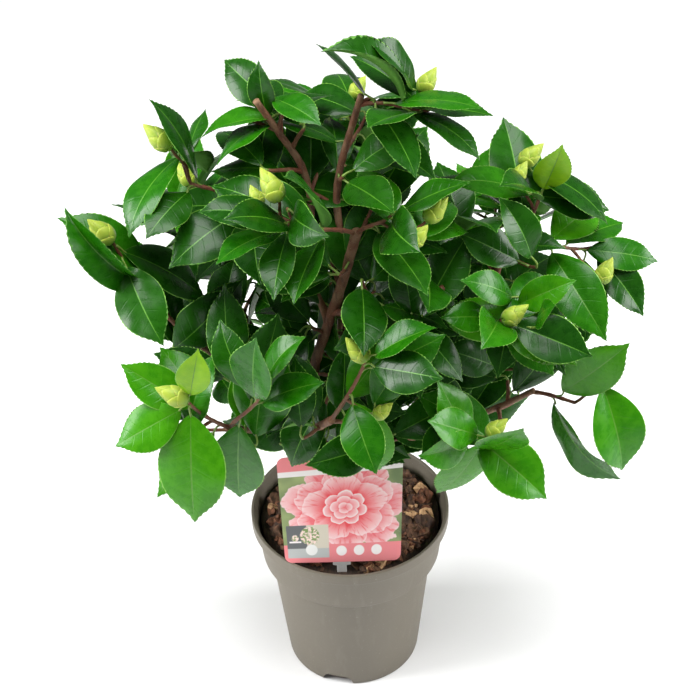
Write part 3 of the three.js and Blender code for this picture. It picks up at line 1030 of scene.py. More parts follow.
class Skeleton:
    """The trunk and the boughs, rebuilt with bark in the places of their solids."""

    RING_REACH = 7 * MM  # corners of one ring of a solid are closer together than this
    STEP = 1.6 * MM
    SIDES = 16
    GRAFT_DROP = 6 * MM  # a bough leaves its parent this far below its own lowest ring
    GRAFT_REACH = 45 * MM
    OLD_RADIUS = 3.3 * MM  # thicker limbs have old bark
    CUT_TIPS = ("bough_top", "bough_top_left")

    def __init__(self) -> None:
        """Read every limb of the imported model."""
        names = sorted(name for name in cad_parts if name.startswith("bough_"))
        self.limbs = [self._trunk()] + [self._bough(name) for name in names]
        self._graft()

    @staticmethod
    def corners(node: str) -> Array:
        """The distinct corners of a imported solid."""
        points = np.array([vertex.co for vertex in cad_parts[node].data.vertices])
        return np.unique(points.round(5), axis=0)

    def _trunk(self) -> Limb:
        """The trunk: a flare at the root, then a slow taper to the fork."""
        points = self.corners("trunk")
        low, high = points[:, 2].min(), points[:, 2].max()
        root = points[points[:, 2] < low + 0.5 * MM]
        fork = points[points[:, 2] > high - 4 * MM]
        foot, top = root.mean(axis=0), fork.mean(axis=0)
        spread = np.linalg.norm(root - foot, axis=1).mean()
        neck = np.linalg.norm(fork - top, axis=1).mean()
        middle = 0.5 * (foot + top) + np.array([-1.0, 0.5, 0.0]) * MM
        path = smooth_path(np.array([foot, middle, top]), self.STEP)
        t = np.linspace(0, 1, len(path))
        radii = neck * (1.12 - 0.12 * t) + (spread - neck * 1.12) * np.exp(-t * 6.5)
        return Limb("trunk", path, radii)

    def _bough(self, name: str) -> Limb:
        """One bough, from the rings of corners of its solid, lowest first.

        Args:
            name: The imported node.

        Returns:
            The limb.
        """
        loose = list(self.corners(name))
        rings = []
        while loose:
            ring = [loose.pop()]
            grown = True
            while grown:
                near = [p for p in loose if min(np.linalg.norm(p - q) for q in ring) < self.RING_REACH]
                grown = bool(near)
                ring.extend(near)
                loose = [p for p in loose if not any(p is q for q in near)]
            rings.append(np.array(ring))
        rings = sorted((ring for ring in rings if len(ring) >= 3), key=lambda ring: ring[:, 2].mean())
        middles = np.array([ring.mean(axis=0) for ring in rings])
        spans = np.array([np.linalg.norm(ring - ring.mean(axis=0), axis=1).mean() for ring in rings])
        path = smooth_path(middles, self.STEP)
        return Limb(name, path, np.linspace(spans[1], spans[-1], len(path)), name in self.CUT_TIPS)

    def _graft(self) -> None:
        """Run the foot of each bough on into the limb that it grows from."""
        for limb in self.limbs[1:]:
            foot = limb.path[0]
            parents = [other for other in self.limbs
                       if other is not limb and other.path[0][2] < foot[2] - 1 * MM]
            parent = min(parents, key=lambda other: np.linalg.norm(other.path - foot, axis=1).min())
            gaps = np.linalg.norm(parent.path - foot + self.GRAFT_DROP * UP, axis=1)
            root = parent.path[int(gaps.argmin())]
            if np.linalg.norm(root - foot) > self.GRAFT_REACH:
                continue
            joined = smooth_path(np.vstack([root, limb.path[2:]]), self.STEP)
            grown = np.interp(np.linspace(0, 1, len(joined)), np.linspace(0, 1, len(limb.path)), limb.radii)
            collar = 0.28 * grown[0] * np.exp(-np.arange(len(joined)) * self.STEP / (5 * MM))
            limb.path, limb.radii = joined, grown + collar

    def nearest(self, point: Array) -> Tuple[Limb, int]:
        """The limb and the step on it that lie nearest to a point."""
        best = min(self.limbs, key=lambda limb: np.linalg.norm(limb.path - point, axis=1).min())
        return best, int(np.linalg.norm(best.path - point, axis=1).argmin())

    @staticmethod
    def _bark_relief(coarse: float) -> Callable[[Array, Array], Array]:
        """Cracks, flakes and knots of the bark.

        Args:
            coarse: Depth of the relief in metres.

        Returns:
            A function that gives how far each point stands out.
        """

        def relief(points: Array, _: Array) -> Array:
            """Height of the bark at each point."""
            heights = []
            for x, y, z in points:
                ridge = noise.noise(Vector((x * 420, y * 420, z * 90)))
                flake = noise.noise(Vector((x * 130, y * 130, z * 130)))
                knot = max(0.0, noise.noise(Vector((x * 60, y * 60, z * 75))) - 0.25)
                heights.append(coarse * (0.5 * ridge + 0.5 * flake + 1.8 * knot))
            return np.array(heights)

        return relief

    def build(self, bark: Material, young: Material) -> None:
        """Make one barked mesh for each limb.

        Args:
            bark: Finish of the trunk and the older boughs.
            young: Finish of the thinner boughs.
        """
        for limb in self.limbs:
            joints = np.arange(len(limb.path)) * self.STEP
            nodes = np.exp(-((joints % (19 * MM) - 9 * MM) / (1.3 * MM)) ** 2)
            ringed = 1 + 0.07 * nodes * (limb.name != "trunk")
            thick = limb.radii[0] * 0.07 + 0.12 * MM
            body = tube(limb.path, limb.radii * ringed, self.SIDES, dome=0.06 if limb.cut else 0.4,
                        relief=self._bark_relief(thick))
            if limb.name == "trunk":
                body.points[:, 2] = np.maximum(body.points[:, 2], limb.path[0][2])
            skin = bark if limb.radii[0] > self.OLD_RADIUS else young
            settle(join("bark_" + limb.name, [body], [skin]), "bark", limb.name)


class InView:
    """The lengths of stem and the new leaves that other leaves leave in view from the front."""

    LENGTHS = {
        "bough_top": (0.3, 0.97),
        "bough_top_left": (0.62, 1.0),
        "bough_leader": (0.5, 0.97),
        "bough_right_low": (0.72, 1.0),
        "bough_front": (0.8, 1.0),
    }
    SIGHT = np.array([0.0, -0.79, 0.61])
    REACH = 7 * MM

    def __init__(self, skeleton: Skeleton) -> None:
        """Gather points along the bare lengths.

        Args:
            skeleton: The limbs.
        """
        parts = []
        for limb in skeleton.limbs:
            if limb.name in self.LENGTHS:
                low, high = (int(share * len(limb.path)) for share in self.LENGTHS[limb.name])
                parts.append(limb.path[low:high:2])
        self.points = np.vstack(parts)

    def add(self, points: Array) -> None:
        """Keep more points in view."""
        self.points = np.vstack([self.points, points])

    def hidden_by(self, points: Array) -> int:
        """Number of a leaf's sample points that hang in front of what stays in view.

        Args:
            points: The sample points.

        Returns:
            The count.
        """
        gaps = points[:, None, :] - self.points[None, :, :]
        ahead = gaps @ self.SIGHT
        beside = np.linalg.norm(gaps - ahead[..., None] * self.SIGHT, axis=2)
        return int(((ahead > 2 * MM) & (beside < self.REACH)).any(axis=1).sum())


def settle(piece: Piece, slot: str, *nodes: str) -> None:
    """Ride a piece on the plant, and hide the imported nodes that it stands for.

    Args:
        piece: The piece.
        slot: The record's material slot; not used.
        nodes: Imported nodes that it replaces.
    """
    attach(piece, "root")
    if nodes:
        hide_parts(*nodes)
    faces = len(piece.data.polygons)
    LOG.info("%s: %d faces, stands for %s", piece.name, faces, ", ".join(nodes) or "nothing packed")


# ---- the crown


@dataclass
class Habit:
    """How one mass of foliage grows."""

    shoots: int = 4
    leaves: int = 7  # on each shoot
    length: Tuple[float, float] = (0.060, 0.084)
    tone: LeafTone = LeafTone.MID
    young: int = 0  # bright new leaves at its tips
    buds: int = 1
    arch: bool = False  # its furthest leaf is narrow, folded and arching
    ceiling: float = 1.0  # its leaves keep below this height
    face: Optional[Tuple[float, float, float]] = None  # where its leaves look, or the light


@dataclass
class Shoot:
    """A leafy twig: its path and its thickness."""

    path: Array
    radii: Array

    def length(self) -> float:
        """Length along the path."""
        return float(np.linalg.norm(np.diff(self.path, axis=0), axis=1).sum())

    def heading(self, step: int) -> Array:
        """Direction of the shoot at a step."""
        step = max(1, min(step, len(self.path) - 1))
        return unit(self.path[step] - self.path[step - 1])


@dataclass
class Mass:
    """One mass of foliage while it grows."""

    LOWEST, HIGHEST = 0.28, 0.46  # masses whose leaves hang most, and lie flattest

    node: str
    habit: Habit
    rng: Random
    shoots: List[Shoot] = field(default_factory=list)
    leaves: List[Leaf] = field(default_factory=list)

    def __post_init__(self) -> None:
        """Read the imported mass: its middle, skin and spurs, and where its leaves look."""
        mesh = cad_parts[self.node].data
        faces = [tuple(face.vertices) for face in mesh.polygons]
        self.skin = BVHTree.FromPolygons([vertex.co.copy() for vertex in mesh.vertices], faces)
        self.middle = box_middle(self.node)
        self.spurs = self._spurs()
        self.light = self._light()

    def _spurs(self) -> Array:
        """The corners that stand out above all round them, furthest first."""
        points = Skeleton.corners(self.node)
        reach = np.linalg.norm(points - self.middle, axis=1)
        ways = unit(points - self.middle)
        close = ways @ ways.T > math.cos(math.radians(30))
        top = np.array([reach[i] >= reach[near].max() - 1e-9 for i, near in enumerate(close)])
        found = points[top]
        return found[np.argsort(-np.linalg.norm(found - self.middle, axis=1))]

    def _light(self) -> Array:
        """Where the leaves look: up, and out of the crown."""
        if self.habit.face is not None:
            return unit(np.array(self.habit.face))
        out = unit(self.middle * (1.0, 1.0, 0.0))
        high = min(1.0, max(0.0, (self.middle[2] - self.LOWEST) / (self.HIGHEST - self.LOWEST)))
        return unit((0.62 + 0.5 * high) * UP + (0.55 - 0.2 * high) * out + (0.3 - 0.25 * high) * FRONT)

    def apart(self) -> List[Array]:
        """The spurs that point in the most different ways, one for each shoot."""
        chosen = [self.spurs[0]]
        while len(chosen) < min(self.habit.shoots, len(self.spurs)):
            taken = unit(np.array(chosen) - self.middle)
            chosen.append(self.spurs[int((unit(self.spurs - self.middle) @ taken.T).max(axis=1).argmin())])
        return chosen

    def tone(self) -> LeafTone:
        """A green for one leaf, most often the mass's own."""
        chance = self.rng.random()
        shift = 0 if chance < 0.58 else (-1 if chance < 0.8 else 1)
        return LeafTone(min(max(self.habit.tone.value + shift, LeafTone.DEEP.value), LeafTone.FRESH.value))


class Crown:
    """Grows shoots, leaves and buds into the masses of foliage."""

    INTERNODE = 7.5 * MM
    STALK = 7 * MM
    TWIG_FOOT = 1.55 * MM
    TWIG_TIP = 1.0 * MM
    LEAF_SHAPE = 0.53  # width over length
    SHORTEST = 0.8  # shortest blade over the habit's shortest
    TRIES = 24
    REACH_TRIES = 24
    OVERHANG = 7 * MM  # how far a leaf may stand out of its mass
    NEAREST = 0.5  # the shortest leaf at a spur, as a share of the habit's shortest
    FURTHEST = 1.15  # the longest one, as a share of the habit's longest
    CLEAR_ENOUGH, MOST_CLASHES = 2, 6  # clashes of a leaf at a spur: taken at once, and taken at all
    HELD = 2.2 * MM  # a shoot bears what starts this close to its middle line
    FORK_GAIN = 5 * MM  # a shoot grows from another one if that is this much nearer than the limb
    SIDE_SHOOT_GAP = 20 * MM
    SIDE_LEAVES = 4
    STEM_COVER = 2  # sample points of a leaf that may hang over a bare stem
    MIDDLE = np.array([0.01, 0.005, 0.345])
    SHADE_REACH = np.array([0.165, 0.135, 0.135])  # shaded leaves keep inside this ellipsoid
    ACROSS = np.array([1.0, 0.2, 0.0])  # where the turns of leaves are counted from

    def __init__(self, skeleton: Skeleton, habits: Mapping[str, Habit], label: "Label", seed: int) -> None:
        """Prepare an empty crown.

        Args:
            skeleton: The limbs that it grows from.
            habits: How each mass grows, by its name in the imported model.
            label: The card that the leaves leave in view.
            seed: Start of the random numbers.
        """
        self.skeleton = skeleton
        self.label = label
        self.in_view = InView(skeleton)
        self.blade = Blade()
        self.clear = Clearance()
        self.masses = [Mass(node, habit, np.random.default_rng(seed + n))
                       for n, (node, habit) in enumerate(habits.items())]
        self.shade_rng = np.random.default_rng(seed + len(habits))
        self.shoots: List[Shoot] = []
        self.stalks: List[Tuple[Array, Array, Array]] = []
        self.buds: List[Tuple[Array, Array, float]] = []

    def grow(self) -> None:
        """Grow every mass, then the shaded leaves inside."""
        for mass in self.masses:
            self._shoot(mass)
        for mass in self.masses:
            self._bud(mass)
            front = sorted(mass.shoots, key=lambda shoot: shoot.path[-1][1])
            for shoot in front[: mass.habit.young]:
                self._new_leaf(mass, shoot)
        for mass in self.masses:
            self._reach(mass)
        for mass in self.masses:
            self._fill(mass)
        self._shade(self.shade_rng)
        self._trim()

    def _trim(self) -> None:
        """Cut every shoot back to the last thing that it bears, and drop the bare ones."""
        borne = [foot for foot, _, _ in self.stalks + self.buds]
        kept: List[Shoot] = []
        for shoot in reversed(self.shoots):
            gaps = np.linalg.norm(shoot.path[:, None, :] - np.array(borne)[None, :, :], axis=2).min(axis=1)
            held = np.nonzero(gaps < self.HELD)[0]
            if len(held) and held[-1] > 1:
                end = int(held[-1]) + 1
                kept.append(Shoot(shoot.path[:end], shoot.radii[:end]))
                borne.append(shoot.path[0])
        self.shoots = kept

    def _twig(self, foot: Array, along: Array, tip: Array, thick: float) -> Shoot:
        """A twig that leaves a limb along it and turns up at its tip.

        Args:
            foot: Where it leaves the limb.
            along: Direction of the limb there.
            tip: Where it ends.
            thick: Thickness of the limb.

        Returns:
            The shoot.
        """
        gap = np.linalg.norm(tip - foot)
        straight = unit(tip - foot)
        leave = foot + unit(straight + 0.8 * max(0.0, float(along @ straight)) * along) * gap * 0.36
        arrive = tip - unit(straight + 0.45 * UP) * gap * 0.3
        t = np.linspace(0, 1, max(8, int(gap / (2.5 * MM))))[:, None]
        path = foot * (1 - t) ** 3 + 3 * leave * t * (1 - t) ** 2 + 3 * arrive * t**2 * (1 - t) + tip * t**3
        return Shoot(path, np.linspace(min(self.TWIG_FOOT, thick * 0.85), self.TWIG_TIP, len(path)))

    def _shoot(self, mass: Mass) -> None:
        """Grow the shoots of one mass from the nearest limb, or from each other, towards its spurs."""
        for spur in mass.apart():
            out = spur - mass.middle
            tip = mass.middle + out * mass.rng.uniform(0.12, 0.4) + UP * mass.rng.uniform(0, 6) * MM
            target = mass.middle + 0.15 * out - UP * 12 * MM
            limb, step = self.skeleton.nearest(target)
            bearer, step = limb, min(step, len(limb.path) - 3)
            gap = np.linalg.norm(limb.path[step] - target)
            for shoot in mass.shoots:
                gaps = np.linalg.norm(shoot.path[2 : max(3, 2 * len(shoot.path) // 3)] - target, axis=1)
                if gaps.min() < gap - self.FORK_GAIN:
                    gap, bearer, step = gaps.min(), shoot, 2 + int(gaps.argmin())
            along = unit(bearer.path[min(step + 2, len(bearer.path) - 1)] - bearer.path[max(step - 2, 0)])
            mass.shoots.append(self._twig(bearer.path[step], along, tip, bearer.radii[step]))
        self.shoots.extend(mass.shoots)

    def _in_the_way(self, leaf: Leaf) -> bool:
        """Whether a leaf would hang over the label or over a stem that stays in view."""
        samples = self.clear.samples(leaf)
        return self.label.hidden_by(samples) or self.in_view.hidden_by(samples) > self.STEM_COVER

    def _leaf(self, foot: Array, way: Array, face: Array, length: float, tone: LeafTone,
              rng: Random) -> Leaf:
        """One leaf on its stalk.

        Args:
            foot: Where its stalk leaves the shoot.
            way: Where its tip points.
            face: Where its upper face looks.
            length: Length of its blade.
            tone: Its green.
            rng: Random numbers.

        Returns:
            The leaf.
        """
        way = unit(way)
        return Leaf(
            base=foot + way * self.STALK,
            way=way,
            face=square_to(face, way),
            length=length,
            width=length * self.LEAF_SHAPE * rng.uniform(0.9, 1.1),
            droop=rng.uniform(0.3, 1.0),
            fold=rng.uniform(0.08, 0.42),
            cup=rng.uniform(0.02, 0.14),
            wave=rng.uniform(0.02, 0.12),
            twist=rng.uniform(-0.5, 0.5),
            phase=rng.uniform(0, math.tau),
            tone=tone,
        )

    def _plant(self, mass: Mass, leaf: Leaf, foot: Array, along: Array) -> None:
        """Add a leaf and its stalk to the crown.

        Args:
            mass: The mass whose piece holds the leaf.
            leaf: The leaf.
            foot: Where its stalk leaves the shoot.
            along: Direction of the shoot there.
        """
        mass.leaves.append(leaf)
        self.clear.keep(leaf)
        self.stalks.append((foot, along, leaf.base + leaf.way * 2 * MM))

    def _reach(self, mass: Mass) -> None:
        """Grow the leaves whose tips are the spurs of a mass."""
        low, high = mass.habit.length
        steps = [(shoot, i) for shoot in mass.shoots for i in range(len(shoot.path) // 3, len(shoot.path))]
        for number, spur in enumerate(mass.spurs):
            if spur[2] > mass.habit.ceiling:
                continue
            wanted = mass.rng.uniform(low, high)
            gaps = np.array([np.linalg.norm(spur - shoot.path[i]) - self.STALK for shoot, i in steps])
            order = [n for n in np.argsort(np.abs(gaps - wanted))
                     if self.NEAREST * low < gaps[n] < self.FURTHEST * high]
            least, chosen = self.MOST_CLASHES + 1, None
            for best in order[:: max(1, len(order) // self.REACH_TRIES)]:
                shoot, i = steps[best]
                foot = shoot.path[i]
                outward = unit(mass.light + 0.3 * unit(spur - mass.middle) + mass.rng.normal(0, 0.12, 3))
                leaf = self._leaf(foot, spur - foot, outward, gaps[best], mass.tone(), mass.rng)
                leaf.width = min(leaf.width, self.LEAF_SHAPE * high)
                if mass.habit.arch and number == 0:
                    leaf.width, leaf.fold, leaf.cup, leaf.droop = 0.62 * leaf.width, 0.95, 0.0, 1.5
                clashes = self.clear.clashes(leaf)
                if clashes < least and not self._in_the_way(leaf):
                    least, chosen = clashes, (leaf, foot, shoot.heading(i))
                if least <= self.CLEAR_ENOUGH:
                    break
            if chosen:
                self._plant(mass, *chosen)
            else:
                LOG.info("%s: spur %d of %d has no leaf", mass.node, number, len(mass.spurs))

    def _fill(self, mass: Mass) -> None:
        """Grow the spiral of leaves along each shoot of a mass, from its tip down."""
        for shoot in mass.shoots:
            spin = mass.rng.uniform(0, math.tau)
            for k in range(mass.habit.leaves):
                back = self.INTERNODE * k * (0.5 + 0.16 * k)
                if back > shoot.length() * 0.92:
                    break
                step = int(round((1 - back / shoot.length()) * (len(shoot.path) - 1)))
                self._settle_leaf(mass, shoot, step, spin + k * GOLDEN_TURN, 0.6 - 0.2 * k)

    def _new_leaf(self, mass: Mass, shoot: Shoot) -> None:
        """Grow the bright new leaf that stands up at a shoot's tip.

        Args:
            mass: The mass.
            shoot: The shoot.
        """
        rng, foot = mass.rng, shoot.path[-2]
        leaf = self._leaf(foot, UP + rng.normal(0, 0.15, 3), FRONT + 0.3 * UP, rng.uniform(0.04, 0.046),
                          LeafTone.YOUNG, rng)
        leaf.fold, leaf.droop = 0.3, 0.5
        if not self._in_the_way(leaf):
            self._plant(mass, leaf, foot, shoot.heading(len(shoot.path)))
            self.in_view.add(leaf.base + np.linspace(0.2, 0.9, 8)[:, None] * leaf.length * leaf.way)

    def _around(self, mass: Mass, angle: float) -> Array:
        """A direction square to a mass's light, turned by an angle."""
        side = square_to(self.ACROSS, mass.light)
        return math.cos(angle) * side + math.sin(angle) * np.cross(mass.light, side)

    def _settle_leaf(self, mass: Mass, shoot: Shoot, step: int, turn: float, rise: float) -> None:
        """Try a leaf in slightly different ways until it grows clear of the others.

        Args:
            mass: The mass.
            shoot: The shoot that bears it.
            step: Where on the shoot.
            turn: Its turn round the shoot, in radians.
            rise: How far it points up, or down below zero.
        """
        tone, rng, (shortest, longest) = mass.tone(), mass.rng, mass.habit.length
        foot, along = shoot.path[step], shoot.heading(step)
        choice, fewest = None, 99
        for attempt in range(self.TRIES):
            flat = self._around(mass, turn + rng.normal(0, 0.1 + 0.1 * attempt))
            way = unit(flat + 0.25 * along + (rise + rng.normal(0, 0.25)) * UP)
            hit = mass.skin.ray_cast(Vector(foot), Vector(way))
            room = (hit[3] if hit[0] else 0.0) + self.OVERHANG - self.STALK
            if room < self.SHORTEST * shortest:
                continue
            length = min(rng.uniform(shortest, longest), room)
            leaf = self._leaf(foot, way, unit(mass.light + rng.normal(0, 0.36, 3)), length, tone, rng)
            if self._in_the_way(leaf) or foot[2] + leaf.way[2] * length > mass.habit.ceiling:
                continue
            clashes = self.clear.clashes(leaf)
            if clashes < fewest:
                choice, fewest = leaf, clashes
            if clashes == 0:
                break
        if choice is not None and fewest <= 1:
            self._plant(mass, choice, foot, along)

    def _shade(self, rng: Random) -> None:
        """Grow short side shoots along the boughs, whose darker leaves close up the crown inside.

        Args:
            rng: Random numbers of these shoots.
        """
        for limb in self.skeleton.limbs[1:]:
            stride = int(self.SIDE_SHOOT_GAP / self.skeleton.STEP)
            for number, step in enumerate(range(int(0.22 * len(limb.path)), len(limb.path) - 4, stride)):
                foot = limb.path[step]
                along = unit(limb.path[step + 2] - limb.path[step - 2])
                turn = number * GOLDEN_TURN + rng.uniform(-0.5, 0.5)
                side = square_to(np.array([1.0, 0.3, 0.2]), along)
                out = math.cos(turn) * side + math.sin(turn) * np.cross(along, side)
                tip = foot + unit(out + 0.4 * along + 0.35 * UP) * rng.uniform(18, 40) * MM
                mass = min(self.masses, key=lambda near: np.linalg.norm(near.middle - tip))
                shoot = self._twig(foot, along, tip, limb.radii[step])
                before = len(self.stalks)
                for k in range(self.SIDE_LEAVES):
                    self._free_leaf(mass, shoot, k, turn, rng)
                if len(self.stalks) > before:
                    self.shoots.append(shoot)

    def _free_leaf(self, mass: Mass, shoot: Shoot, k: int, turn: float, rng: Random) -> None:
        """Grow one shaded leaf that keeps inside the crown.

        Args:
            mass: The nearest mass.
            shoot: The side shoot.
            k: Number of the leaf on it.
            turn: Turn of its first leaf.
            rng: Random numbers of these shoots.
        """
        step = len(shoot.path) - 1 - 3 * k
        foot, along = shoot.path[step], shoot.heading(step)
        for attempt in range(self.TRIES):
            flat = self._around(mass, turn + (k + 1) * GOLDEN_TURN + rng.normal(0, 0.15 * (attempt + 1)))
            way = unit(flat + 0.3 * along + rng.normal(0.0, 0.35) * UP)
            length = rng.uniform(0.046, 0.066)
            leaf = self._leaf(foot, way, unit(mass.light + rng.normal(0, 0.3, 3)), length, LeafTone.DEEP, rng)
            tip = leaf.base + leaf.way * length
            inside = np.linalg.norm((tip - self.MIDDLE) / self.SHADE_REACH) < 1.0
            if inside and not self._in_the_way(leaf) and self.clear.clashes(leaf) == 0:
                self._plant(mass, leaf, foot, along)
                return

    def _bud(self, mass: Mass) -> None:
        """Set flower buds at the tips of a mass's shoots."""
        rng = mass.rng
        tips = sorted(mass.shoots, key=lambda shoot: -float(shoot.path[-1] @ mass.light))
        for count in range(mass.habit.buds):
            tip = tips[count % len(tips)].path[-1]
            out = square_to(tip - self.MIDDLE, UP)
            aside = np.array([math.copysign(1.0, out[0] + rng.normal(0, 0.4)), 0.0, 0.0])
            way = unit(0.8 * UP - 0.3 * FRONT + 0.12 * out + 0.6 * aside + rng.normal(0, 0.16, 3))
            size = (rng.uniform(19, 25) if count == 0 else rng.uniform(14, 20)) * MM
            self.buds.append((tip - way * 1.5 * MM, way, size))
            for share, girth in ((0.3, 0.3), (0.6, 0.28), (0.9, 0.16)):
                self.clear.block(tip + way * size * share, size * girth)

    def build_leaves(self) -> None:
        """Join the leaves of each mass into one piece."""
        materials = [LEAF_FINISHES[tone].material() for tone in LeafTone]
        for mass in self.masses:
            blades = [self.blade.patch(leaf) for leaf in mass.leaves]
            LOG.info("%s: %d leaves", mass.node, len(blades))
            settle(join(mass.node.replace("foliage", "leaves"), blades, materials), "leaf", mass.node)

    def build_twigs(self, woody: Material, green: Material) -> None:
        """Join all the shoots and leaf stalks into one piece.

        Args:
            woody: Finish of the shoots.
            green: Finish of the leaf stalks.
        """
        tubes, pace = [], 2.2 * MM
        for shoot in self.shoots:
            path = smooth_path(shoot.path, pace)
            radii = np.interp(np.linspace(0, 1, len(path)), np.linspace(0, 1, len(shoot.radii)), shoot.radii)
            walked = np.arange(len(path)) * pace
            rings = 1 + 0.16 * np.exp(-((walked % (9 * MM) - 4 * MM) / (1.2 * MM)) ** 2)
            tubes.append(tube(path, radii * rings, 9, dome=1.2))
        for foot, along, base in self.stalks:
            bend = foot + along * 2.5 * MM + (base - foot) * 0.35
            path = smooth_path(np.array([foot, bend, base]), 1.6 * MM)
            t = np.linspace(0, 1, len(path))
            radii = (1.1 - 0.3 * np.sin(math.pi * t) ** 0.7 - 0.25 * t) * MM
            tubes.append(tube(path, radii, 8, slot=1, dome=0.6))
        settle(join("twigs", tubes, [woody, green], aspect=1.2), "bark")


class Buds:
    """Fat flower buds wrapped in overlapping scales."""

    SCALES = 11
    STEP_OUT = 0.1 * MM
    THICKNESS = 0.3 * MM
    GIRTH = 0.25  # widest radius over length

    def __init__(self) -> None:
        """Lay out the grid of one scale."""
        self.grid = Lens(10, (-1, -0.85, -0.5, 0, 0.5, 0.85, 1), (-0.85, -0.5, 0, 0.5, 0.85))

    @staticmethod
    def girth(h: Array) -> Array:
        """Radius along a bud over its widest: round below, drawn out to a point."""
        body = np.nan_to_num(np.sin(math.pi * np.clip(h, 0.0, 1.0) ** 0.72) ** 0.8)
        return body * (1 - 0.42 * np.clip(h - 0.45, 0, 1))

    def scales(self, foot: Array, way: Array, length: float, spin: float) -> Iterable[Patch]:
        """The scales of one bud.

        Args:
            foot: Where the bud sits.
            way: Where it points.
            length: Its length.
            spin: Turn of its first scale, in radians.

        Returns:
            One patch for each scale.
        """
        side = square_to(np.array([0.9, 0.3, 0.1]), way)
        other = np.cross(way, side)
        grid = self.grid
        wide = length * self.GIRTH
        for k in range(self.SCALES):
            share = k / (self.SCALES - 1)
            low, high = 0.02 + 0.34 * share, min(1.0, 0.34 + 0.8 * share)
            h = low + (high - low) * grid.u
            span = np.clip(1 - grid.u ** 2.4, 0, 1) ** 0.62
            angle = spin + k * GOLDEN_TURN - grid.v * span * math.radians(96 - 22 * share)
            layer = self.STEP_OUT * (self.SCALES - k) * np.minimum(1.0, (1 - h) * 3 + 0.25)
            radius = wide * self.girth(h) + layer - 0.3 * MM * np.abs(grid.v) ** 3
            radius = np.maximum(radius + 0.5 * grid.side * self.THICKNESS, 0.02 * MM)
            out = np.cos(angle)[:, None] * side + np.sin(angle)[:, None] * other
            points = foot + (h * length)[:, None] * way + radius[:, None] * out
            yield grid.patch(points, span, np.zeros(len(grid.sizes), int), share)

    def core(self, foot: Array, way: Array, length: float) -> Patch:
        """The closed heart inside the scales, whose point shows between their tips."""
        h = np.linspace(0.03, 0.995, 16)
        path = foot + (h * length)[:, None] * way
        radii = np.maximum(length * self.GIRTH * self.girth(h), 0.15 * MM)
        heart = tube(path, radii, 14, dome=0.8)
        heart.blade = np.stack([np.concatenate([np.repeat(h, 14), [0, 1]]), np.zeros(len(heart.points)),
                                np.ones(len(heart.points))], axis=1)
        return heart

    def build(self, buds: Sequence[Tuple[Array, Array, float]], material: Material) -> None:
        """Join every bud into one piece.

        Args:
            buds: Foot, direction and length of each.
            material: Finish of the scales.
        """
        patches = []
        for number, (foot, way, length) in enumerate(buds):
            patches.append(self.core(foot, way, length))
            patches.extend(self.scales(foot, way, length, number * 1.3))
        settle(join("flower_buds", patches, [material]), "leaf")


# ---- pot and compost


